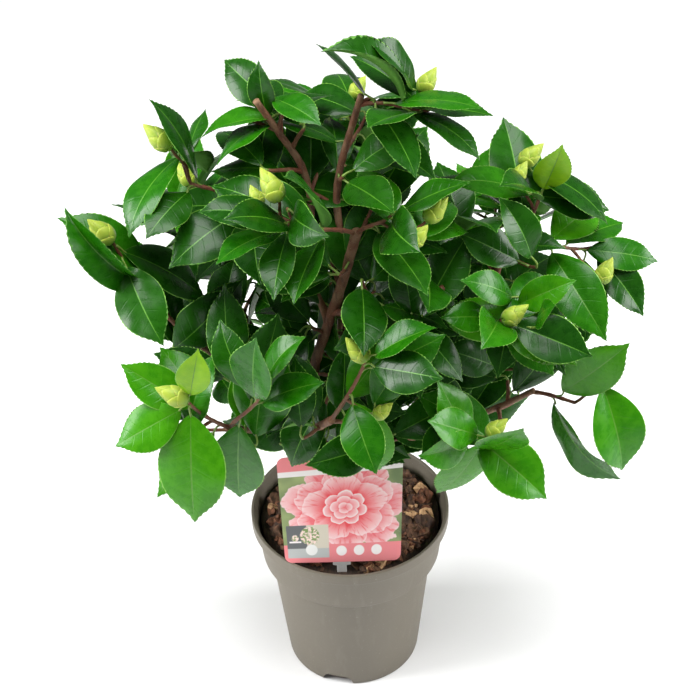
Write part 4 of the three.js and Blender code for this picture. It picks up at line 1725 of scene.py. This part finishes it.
@dataclass
class Pot:
    """A moulded nursery pot: lip, collar, tapered body and bites for drainage."""

    lip_height: float = 9 * MM
    wall: float = 1.8 * MM
    collar_top_radius: float = 71.6 * MM
    collar_foot_radius: float = 68.2 * MM
    collar_drop: float = 40 * MM
    body_top_radius: float = 62.4 * MM
    foot_radius: float = 51.8 * MM
    floor: float = 3 * MM
    segments: int = 168
    bites: int = 3
    first_bite: float = -105.3  # bearing in degrees
    bite_width: float = 24.3 * MM
    bite_height: float = 9 * MM
    bite_depth: float = 9 * MM

    def __post_init__(self) -> None:
        """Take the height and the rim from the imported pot."""
        low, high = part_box("pot")
        self.height = high.z - low.z
        self.rim_radius = 0.5 * (high.x - low.x)

    def profile(self) -> List[Tuple[float, float, float]]:
        """Corners of the section as (radius, height, rounding), from the floor outside up and in again."""
        top = self.height
        lip = top - self.lip_height
        step = top - self.collar_drop
        wall = self.wall
        return [
            (0.0, 0.0, 0.0),
            (self.foot_radius, 0.0, 2.2 * MM),
            (self.body_top_radius, step, 0.8 * MM),
            (self.collar_foot_radius, step, 1.2 * MM),
            (self.collar_top_radius, lip - 0.6 * MM, 0.9 * MM),
            (self.rim_radius, lip, 0.9 * MM),
            (self.rim_radius, top, 0.8 * MM),
            (self.rim_radius - wall - 0.6 * MM, top, 0.7 * MM),
            (self.collar_top_radius - wall, lip - wall, 0.8 * MM),
            (self.collar_foot_radius - wall, step + wall, 0.8 * MM),
            (self.body_top_radius - wall, step - 1 * MM, 0.8 * MM),
            (self.foot_radius - wall, self.floor, 1.5 * MM),
            (0.0, self.floor, 0.0),
        ]

    def outline(self) -> Array:
        """The section with its corners rounded and its long faces divided."""
        corners = self.profile()
        line = []
        for i, (radius, height, rounding) in enumerate(corners):
            here = np.array([radius, height])
            if rounding == 0.0:
                line.append(here)
                continue
            before, after = np.array(corners[i - 1][:2]), np.array(corners[i + 1][:2])
            start = here + (before - here) / np.linalg.norm(before - here) * rounding
            end = here + (after - here) / np.linalg.norm(after - here) * rounding
            for t in np.linspace(0, 1, 5):
                line.append((1 - t) ** 2 * start + 2 * t * (1 - t) * here + t**2 * end)
        divided = [line[0]]
        for point in line[1:]:
            count = max(1, int(np.linalg.norm(point - divided[-1]) / (9 * MM)))
            first = divided[-1]
            divided.extend(first + (point - first) * (n + 1) / count for n in range(count))
        return np.array(divided)

    def build(self, material: Material) -> Piece:
        """Turn the section, cut the bites and dress the pot.

        Args:
            material: The pot's finish.

        Returns:
            The pot.
        """
        line = self.outline()
        angle = np.arange(self.segments) * math.tau / self.segments
        points = [(0.0, 0.0, line[0][1])]
        for radius, height in line[1:-1]:
            points.extend((radius * math.cos(a), radius * math.sin(a), height) for a in angle)
        points.append((0.0, 0.0, line[-1][1]))
        corners, sizes = turned_faces(len(line) - 2, self.segments)
        faces = [tuple(face) for face in np.split(np.array(corners), np.cumsum(sizes)[:-1])]
        mesh = bpy.data.meshes.new("pot_shell")
        mesh.from_pydata(points, [], faces)
        face_outwards(mesh)
        pot = linked("pot_shell", mesh)
        for number in range(self.bites):
            self._bite(pot, math.radians(self.first_bite + 360 / self.bites * number))
        pot.data.shade_smooth()
        pot.data.set_sharp_from_angle(angle=math.radians(38))
        pot.data.materials.clear()
        pot.data.materials.append(material)
        settle(pot, "pot", "pot")
        return pot

    def _bite(self, pot: Piece, bearing: float) -> None:
        """Cut one arched bite out of the pot's foot.

        Args:
            pot: The pot.
            bearing: Where the bite is, in radians.
        """
        half = 0.5 * self.bite_width
        turns = math.pi * (1 - np.linspace(0.04, 0.96, 13))  # no corner lies in the plane of the underside
        arch = [(half * math.cos(turn), self.bite_height * min(1.0, 1.25 * math.sin(turn))) for turn in turns]
        arch = [(-half, -2 * MM)] + arch + [(half, -2 * MM)]
        depth = (self.foot_radius - self.bite_depth, self.foot_radius + self.bite_depth)
        points = [(r, y, z) for r in depth for y, z in arch]
        count = len(arch)
        faces = [tuple(range(count)), tuple(reversed(range(count, 2 * count)))]
        faces += [(i, count + i, count + (i + 1) % count, (i + 1) % count) for i in range(count)]
        mesh = bpy.data.meshes.new("bite")
        turned = [(x * math.cos(bearing) - y * math.sin(bearing), x * math.sin(bearing) + y * math.cos(bearing), z)
                  for x, y, z in points]
        mesh.from_pydata(turned, [], faces)
        face_outwards(mesh)
        cutter = linked("bite", mesh)
        cut = pot.modifiers.new("bite", "BOOLEAN")
        cut.operation = "DIFFERENCE"
        cut.solver = "EXACT"
        cut.object = cutter
        apply_modifiers(pot)
        bpy.data.objects.remove(cutter)


def face_outwards(mesh: bpy.types.Mesh) -> None:
    """Turn every face of a closed mesh to look outwards."""
    work = bmesh.new()
    work.from_mesh(mesh)
    bmesh.ops.recalc_face_normals(work, faces=work.faces)
    work.to_mesh(mesh)
    work.free()


def apply_modifiers(piece: Piece) -> None:
    """Replace a piece's mesh by the result of its modifiers."""
    bpy.context.view_layer.update()
    evaluated = piece.evaluated_get(bpy.context.evaluated_depsgraph_get())
    mesh = bpy.data.meshes.new_from_object(evaluated)
    piece.modifiers.clear()
    piece.data = mesh


@dataclass
class Compost:
    """Bark compost: an uneven bed with chips and crumbs lying on it."""

    chips: int = 980
    margin: float = 3 * MM
    seed: int = 51

    def __post_init__(self) -> None:
        """Take the bed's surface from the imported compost."""
        low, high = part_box("compost")
        self.radius = 0.5 * (high.x - low.x) - 0.5 * MM
        self.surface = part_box("trunk")[0].z - 0.35 * MM
        self.depth = low.z

    @staticmethod
    def heave(x: float, y: float) -> float:
        """Height of the bed above its level at a place."""
        slow = noise.noise(Vector((x * 26, y * 26, 0.3)))
        return 2.2 * MM * slow + 1.0 * MM * noise.noise(Vector((x * 90, y * 90, 4.0)))

    def bed(self) -> Patch:
        """The body of the compost, closed below."""
        rings, sides = 26, 72
        angle = np.arange(sides) * math.tau / sides
        circle = np.stack([np.cos(angle), np.sin(angle)], axis=1)
        points = [(0.0, 0.0, self.surface + self.heave(0, 0))]
        for ring in range(1, rings + 1):
            sink = 1.5 * MM if ring == rings else 0.0
            for x, y in self.radius * ring / rings * circle:
                points.append((x, y, self.surface + self.heave(x, y) - sink))
        floor = self.depth + 0.5 * MM
        below = ((0.97, self.surface - 26 * MM), (0.865, self.surface - 32 * MM), (0.73, floor))
        for share, z in below:
            points.extend((x, y, z) for x, y in self.radius * share * circle)
        points.append((0.0, 0.0, floor))
        points = np.array(points)
        corners, sizes = turned_faces(rings + len(below), sides)
        uv = 0.5 + 0.48 * points[:, :2] / self.radius
        hidden = np.tile(np.arange(rings + len(below) + 1) >= rings, sides).astype(int)
        slots = np.zeros(len(sizes), int)
        return Patch(points, np.array(corners), np.array(sizes), uv[corners], slots, hidden, np.zeros_like(points))

    def chip(self, rng: Random, place: Array, size: float, slot: int) -> Patch:
        """One splintered chip.

        Args:
            rng: Random numbers.
            place: Its middle.
            size: Its length.
            slot: Its material.

        Returns:
            The chip.
        """
        lines = (-1.0, -0.35, 0.4, 1.0)
        shape = np.array([(x, y, z) for x in lines for y in lines for z in (-1.0, 1.0)])
        shape = shape * (1 - 0.12 * (np.abs(shape[:, [1, 0, 0]]) ** 3))
        shape = shape + rng.normal(0, 0.11, shape.shape)
        shape = shape * np.array([0.5, rng.uniform(0.22, 0.4), rng.uniform(0.1, 0.2)]) * size
        turn, tip, roll = rng.uniform(0, math.tau), rng.normal(0, 0.42), rng.normal(0, 0.42)
        c, s = math.cos(turn), math.sin(turn)
        level, steep = math.cos(roll), math.sin(roll)
        tilt = np.array([[1, 0, 0], [0, level, -steep], [0, steep, level]])
        pitch = np.array([[math.cos(tip), 0, math.sin(tip)], [0, 1, 0], [-math.sin(tip), 0, math.cos(tip)]])
        spin = np.array([[c, -s, 0], [s, c, 0], [0, 0, 1]])
        shape = shape @ (spin @ pitch @ tilt).T + place
        number = np.arange(len(shape)).reshape(4, 4, 2)
        corners: List[int] = []

        def face_of(*places: Tuple[int, int, int]) -> None:
            """Add one face by the places of its corners."""
            corners.extend(int(number[place]) for place in places)

        for i in range(3):
            for j in range(3):
                face_of((i, j, 1), (i + 1, j, 1), (i + 1, j + 1, 1), (i, j + 1, 1))
                face_of((i, j + 1, 0), (i + 1, j + 1, 0), (i + 1, j, 0), (i, j, 0))
            face_of((i, 0, 0), (i + 1, 0, 0), (i + 1, 0, 1), (i, 0, 1))
            face_of((i + 1, 3, 0), (i, 3, 0), (i, 3, 1), (i + 1, 3, 1))
            face_of((0, i + 1, 0), (0, i, 0), (0, i, 1), (0, i + 1, 1))
            face_of((3, i, 0), (3, i + 1, 0), (3, i + 1, 1), (3, i, 1))
        faces = len(corners) // 4
        row = np.arange(faces)
        wide = math.ceil(math.sqrt(faces))
        cell_x, cell_y = row % wide, row // wide
        square = np.array([(0.05, 0.05), (0.95, 0.05), (0.95, 0.95), (0.05, 0.95)])
        uv = (np.stack([cell_x, cell_y], axis=1)[:, None, :] + square[None]) / wide
        return Patch(shape, np.array(corners), np.full(faces, 4), uv.reshape(-1, 2), np.full(faces, slot),
                     np.zeros(faces, int), np.zeros((len(shape), 3)))

    def build(self, bed: Material, chips: Sequence[Material]) -> None:
        """Make the bed and scatter the chips.

        Args:
            bed: Finish of the fine compost.
            chips: Finishes of the chips, the commonest first.
        """
        settle(join("compost_bed", [self.bed()], [bed], aspect=1.0), "compost", "compost")
        rng = np.random.default_rng(self.seed)
        trunk, stick = box_middle("trunk"), box_middle("label_stick")
        pieces = []
        for number in range(self.chips):
            size = rng.choice((5, 8, 11, 15), p=(0.36, 0.34, 0.2, 0.1)) * rng.uniform(0.8, 1.2) * MM
            r = (self.radius - self.margin - 0.4 * size) * math.sqrt(rng.random())
            turn = rng.uniform(0, math.tau)
            x, y = r * math.cos(turn), r * math.sin(turn)
            beside_trunk = math.hypot(x - trunk[0], y - trunk[1]) < 10 * MM
            if beside_trunk or math.hypot(x - stick[0], y - stick[1]) < 13 * MM:
                continue
            z = self.surface + self.heave(x, y) + rng.uniform(0.2, 2.4) * MM
            slot = int(rng.choice(len(chips), p=(0.34, 0.32, 0.28, 0.06)))
            pieces.append(self.chip(rng, np.array([x, y, z]), size, slot))
        piece = join("bark_chips", pieces, chips, aspect=1.0)
        piece.data.shade_flat()
        settle(piece, "compost")


# ---- label


@dataclass
class Label:
    """A printed card on a clear stick, leaning back a little."""

    bottom_width: float = 84 * MM
    top_width: float = 91 * MM
    left_height: float = 82 * MM
    right_height: float = 89 * MM
    corner: float = 5 * MM
    thickness: float = 0.8 * MM
    bow: float = 1.0 * MM  # how far the card's middle bows out
    sight_angle: float = 38.0  # how steeply it is looked at, in degrees
    cover: float = 13 * MM  # how much of its top the leaves may hide
    columns: int = 48
    rows: int = 46

    def __post_init__(self) -> None:
        """Take the card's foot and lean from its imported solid."""
        low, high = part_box("label")
        self.foot = np.array([0.5 * (low.x + high.x), low.y, low.z])
        rise = high.z - low.z
        run = high.y - low.y
        self.lean = math.atan2(run - self.thickness, rise)

    def place(self, s: float, t: float, height: float) -> Array:
        """A point of the card.

        Args:
            s: Place across, 0 at the left and 1 at the right.
            t: Place up, 0 at the foot and 1 at the top.
            height: Distance in front of the card's middle plane.

        Returns:
            The point in metres.
        """
        width = self.bottom_width + (self.top_width - self.bottom_width) * t
        up = (self.left_height + (self.right_height - self.left_height) * s) * t
        out = height + 0.6 * self.bow * (1 - (2 * s - 1) ** 2)
        y = up * math.sin(self.lean) - out * math.cos(self.lean)
        z = up * math.cos(self.lean) + out * math.sin(self.lean)
        return self.foot + np.array([(s - 0.5) * width, y, z])

    def hidden_by(self, points: Array) -> bool:
        """Whether points hang between the card and someone who looks down at it.

        Args:
            points: Sample points of a leaf.

        Returns:
            True if they would cover the card.
        """
        top = self.place(0.5, 1.0, 0.0)
        sight = math.tan(math.radians(self.sight_angle))
        line = top[2] + np.maximum(0.0, top[1] - points[:, 1]) * sight
        beside = np.abs(points[:, 0] - self.foot[0]) < 0.5 * self.top_width + 1 * MM
        return bool((beside & (points[:, 1] < top[1] + 4 * MM) & (points[:, 2] < line - self.cover)).any())

    def rounded(self, s: float, t: float) -> Tuple[float, float]:
        """Pull the card's square corners in to round ones.

        Args:
            s: Place across.
            t: Place up.

        Returns:
            The place on the rounded card.
        """
        reach_s, reach_t = self.corner / self.bottom_width, self.corner / self.left_height
        ds = max(0.0, reach_s - s, s - (1 - reach_s)) / reach_s
        dt = max(0.0, reach_t - t, t - (1 - reach_t)) / reach_t
        if ds > 0 and dt > 0:
            scale = max(ds, dt) / math.hypot(ds, dt)
            s += (1 - scale) * ds * reach_s * (1 if s < 0.5 else -1)
            t += (1 - scale) * dt * reach_t * (1 if t < 0.5 else -1)
        return s, t

    def card(self) -> Patch:
        """The card as one closed sheet."""
        lines_s = self._lines(self.columns, self.corner / self.bottom_width)
        lines_t = self._lines(self.rows, self.corner / self.left_height)
        wide, tall = len(lines_s), len(lines_t)
        points, sheet = [], []
        for face in (0.5, -0.5):
            for t in lines_t:
                for s in lines_s:
                    rs, rt = self.rounded(s, t)
                    points.append(self.place(rs, rt, face * self.thickness))
                    sheet.append((rs, rt, face))
        corners, sizes, uv, cells, slots = [], [], [], [], []

        def face_of(numbers: Sequence[int], cell: int, slot: int) -> None:
            """Add one face."""
            corners.extend(numbers)
            sizes.append(len(numbers))
            uv.extend((sheet[n][0], sheet[n][1]) for n in numbers)
            cells.append(cell)
            slots.append(slot)

        back = wide * tall
        for j in range(tall - 1):
            for i in range(wide - 1):
                a = j * wide + i
                face_of((a, a + 1, a + wide + 1, a + wide), 0, 0)
                face_of((back + a, back + a + wide, back + a + wide + 1, back + a + 1), 1, 1)
        grid = np.arange(wide * tall).reshape(tall, wide)
        rim = [*grid[0], *grid[1:, -1], *grid[-1, -2::-1], *grid[-2:0:-1, 0]]
        for n, (a, b) in enumerate(zip(rim, rim[1:] + rim[:1])):
            corners.extend((a, back + a, back + b, b))
            sizes.append(4)
            x0, x1 = n / len(rim), (n + 1) / len(rim)
            uv.extend(((x0, 0.2), (x0, 0.8), (x1, 0.8), (x1, 0.2)))
            cells.append(2)
            slots.append(1)
        return Patch(np.array(points), np.array(corners), np.array(sizes), np.array(uv), np.array(slots),
                     np.array(cells), np.array(sheet))

    @staticmethod
    def _lines(count: int, corner: float) -> List[float]:
        """Grid lines that are closer together in the rounded corners."""
        near = list(np.linspace(0, corner, 7)[:-1])
        return near + list(np.linspace(corner, 1 - corner, count)) + [1 - n for n in reversed(near)]

    def build(self, printed: Material, plain: Material) -> None:
        """Make the card.

        Args:
            printed: Finish of its front.
            plain: Finish of its back and edge.
        """
        piece = join("label_card", [self.card()], [printed, plain], aspect=1.0, attribute="sheet")
        piece.data.set_sharp_from_angle(angle=math.radians(40))
        settle(piece, "label", "label")


@dataclass
class Stick:
    """The clear plastic stick with a clip that holds the card's foot."""

    bevel: float = 0.45 * MM
    blade_width: float = 7 * MM

    def build(self, material: Material) -> None:
        """Make the stick.

        Args:
            material: The clear plastic.
        """
        low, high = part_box("label_stick")
        middle_x, middle_y = 0.5 * (low.x + high.x), 0.5 * (low.y + high.y)
        clip_low = high.z - 4 * MM
        half = 0.5 * (high.x - low.x)
        blade = 0.5 * self.blade_width
        outline = [
            (0.0, low.z), (blade * 0.5, low.z + 3 * MM), (blade, low.z + 9 * MM), (blade, clip_low),
            (half, clip_low + 0.6 * MM), (half, high.z), (-half, high.z), (-half, clip_low + 0.6 * MM),
            (-blade, clip_low), (-blade, low.z + 9 * MM), (-blade * 0.5, low.z + 3 * MM),
        ]
        deep = 0.5 * (high.y - low.y)
        points = [(middle_x + x, middle_y + y, z) for y in (-deep, deep) for x, z in outline]
        count = len(outline)
        faces = [tuple(range(count)), tuple(reversed(range(count, 2 * count)))]
        faces += [((i + 1) % count, i, count + i, count + (i + 1) % count) for i in range(count)]
        mesh = bpy.data.meshes.new("label_stake")
        mesh.from_pydata(points, [], faces)
        piece = linked("label_stake", mesh)
        rounding = piece.modifiers.new("rounding", "BEVEL")
        rounding.width = self.bevel
        rounding.segments = 3
        rounding.limit_method = "ANGLE"
        apply_modifiers(piece)
        piece.data.materials.clear()
        piece.data.materials.append(material)
        settle(piece, "clear_plastic", "label_stick")


# ---- studio


@dataclass
class Studio:
    """A white sweep, soft lamps and the camera."""

    elevation: float = 37.9
    distance: float = 1.1
    target: Tuple[float, float, float] = (0.0034, 0.0, 0.294)
    roll: float = -1.62
    view_angle: float = 25.15
    lamps: Tuple[Tuple[str, Tuple[float, float, float], float, float], ...] = (
        ("overhead", (0.0, -0.2, 1.9), 1.1, 41.0),
        ("left", (-1.5, -0.15, 0.95), 0.8, 38.0),
        ("right", (1.5, -0.1, 0.9), 0.8, 30.0),
    )

    def floor(self) -> None:
        """Lay the pale floor."""
        half = 6.0
        mesh = bpy.data.meshes.new("floor")
        corners = [(-half, -half, 0), (half, -half, 0), (half, half, 0), (-half, half, 0)]
        mesh.from_pydata(corners, [], [(0, 1, 2, 3)])
        sweep = linked("floor", mesh)
        s = Shader("floor_white")
        grain = s.grain(3.0, 2.0)
        s.finish(s.mix(grain, (0.86, 0.86, 0.86), (0.9, 0.9, 0.9)), Roughness=0.9)
        mesh.materials.append(s.material)

    def light(self) -> None:
        """Hang the lamps and brighten the room."""
        target = Vector((0.0, 0.0, 0.3))
        for name, place, size, power in self.lamps:
            lamp = bpy.data.lights.new(name, "AREA")
            lamp.shape = "SQUARE"
            lamp.size = size
            lamp.energy = power
            made = linked(name, lamp)
            made.location = place
            made.rotation_euler = (target - Vector(place)).to_track_quat("-Z", "Y").to_euler()
        world = bpy.data.worlds.new("studio")
        world.use_nodes = True
        sky = world.node_tree.nodes["Background"]
        sky.inputs["Color"].default_value = (1.0, 1.0, 1.0, 1.0)
        sky.inputs["Strength"].default_value = 0.2
        bpy.context.scene.world = world

    def camera(self) -> None:
        """Place the camera."""
        lens = bpy.data.cameras.new("camera")
        lens.sensor_fit = "HORIZONTAL"
        lens.angle = math.radians(self.view_angle)
        lens.clip_start = 0.05
        eye = linked("camera", lens)
        tilt = math.radians(self.elevation)
        back = Vector((0.0, -math.cos(tilt), math.sin(tilt)))
        eye.location = Vector(self.target) + back * self.distance
        eye.rotation_mode = "QUATERNION"
        spin = Quaternion((0.0, 0.0, 1.0), math.radians(self.roll))
        eye.rotation_quaternion = (-back).to_track_quat("-Z", "Y") @ spin
        bpy.context.scene.camera = eye

    def build(self) -> None:
        """Set up the whole studio."""
        self.floor()
        self.light()
        self.camera()
        bpy.context.scene.view_settings.view_transform = "Standard"


# ---- the plant


LARGE = (0.064, 0.088)  # shortest and longest blade of the masses with the largest leaves

HABITS: Dict[str, Habit] = {
    "foliage_top": Habit(shoots=5, arch=True, tone=LeafTone.DEEP, buds=1),
    "foliage_top_left": Habit(shoots=5, tone=LeafTone.DEEP, leaves=9, buds=0),
    "foliage_centre": Habit(shoots=5, tone=LeafTone.DEEP, leaves=9, buds=2),
    "foliage_centre_left": Habit(tone=LeafTone.DEEP, leaves=9, buds=2),
    "foliage_left_upper": Habit(shoots=5, tone=LeafTone.DEEP, leaves=9, buds=1),
    "foliage_left": Habit(arch=True, tone=LeafTone.MID, leaves=9, buds=1),
    "foliage_left_low": Habit(tone=LeafTone.FRESH, young=1, buds=3, length=LARGE, face=(-0.1, -0.7, 0.7)),
    "foliage_front_left": Habit(tone=LeafTone.MID, leaves=8, buds=0),
    "foliage_front": Habit(arch=True, tone=LeafTone.MID, leaves=8, buds=2),
    "foliage_front_right": Habit(tone=LeafTone.FRESH, buds=1),
    "foliage_right_low": Habit(tone=LeafTone.FRESH, buds=1, length=LARGE, face=(0.1, -0.75, 0.65)),
    "foliage_right_middle": Habit(tone=LeafTone.MID, leaves=8, buds=1, length=LARGE, face=(0.0, -0.65, 0.75)),
    "foliage_right": Habit(shoots=5, tone=LeafTone.MID, leaves=9, buds=1, length=LARGE, face=(0.1, -0.7, 0.7)),
    "foliage_right_upper": Habit(shoots=5, tone=LeafTone.DEEP, leaves=9, young=1, buds=2),
    "foliage_back": Habit(shoots=5, tone=LeafTone.DEEP, buds=1, ceiling=0.452),
    "foliage_back_left": Habit(shoots=5, buds=1),
    "foliage_back_right": Habit(shoots=5, buds=1, ceiling=0.385),
    "foliage_back_low": Habit(buds=0),
}


def main() -> None:
    """Build the plant, its pot and the studio."""
    logging.basicConfig(level=logging.INFO, format="%(name)s %(message)s")
    Studio().build()
    bark = BarkFinish("bark_old", (0.15, 0.055, 0.024), (0.22, 0.125, 0.065), (0.36, 0.25, 0.15)).material()
    young = BarkFinish("bark_young", (0.14, 0.036, 0.014), (0.15, 0.07, 0.03), (0.28, 0.16, 0.08)).material()
    stalk = SkinFinish("stalk_green", (0.15, 0.25, 0.03), 0.42, (0.12, 0.2, 0.03)).material()
    skeleton = Skeleton()
    skeleton.build(bark, young)
    label = Label()
    crown = Crown(skeleton, HABITS, label, seed=900)
    crown.grow()
    crown.build_leaves()
    crown.build_twigs(young, stalk)
    scales = BudFinish("bud_scales", (0.13, 0.27, 0.01), (0.38, 0.45, 0.045), (0.26, 0.12, 0.025)).material()
    Buds().build(crown.buds, scales)
    Pot().build(PotFinish().material())
    Compost().build(
        ChipFinish("compost_fine", (0.05, 0.026, 0.014), (0.016, 0.008, 0.005)).material(),
        [
            ChipFinish("chip_red", (0.22, 0.085, 0.04), (0.09, 0.032, 0.014)).material(),
            ChipFinish("chip_brown", (0.15, 0.07, 0.036), (0.055, 0.025, 0.012)).material(),
            ChipFinish("chip_dark", (0.08, 0.038, 0.02), (0.03, 0.014, 0.008)).material(),
            ChipFinish("chip_tan", (0.68, 0.42, 0.22), (0.36, 0.19, 0.09)).material(),
        ],
    )
    plain = SkinFinish("card_white", (0.8, 0.79, 0.77), 0.4, (0.76, 0.75, 0.73))
    label.build(Print().material(), plain.material())
    clear = Shader("clear_stick")
    haze = clear.grain(300.0, 2.0)
    clear.finish(clear.mix(haze, (0.74, 0.74, 0.72), (0.8, 0.8, 0.79)), Roughness=haze * 0.15 + 0.22)
    Stick().build(clear.material)


if __name__ == "__main__":
    main()
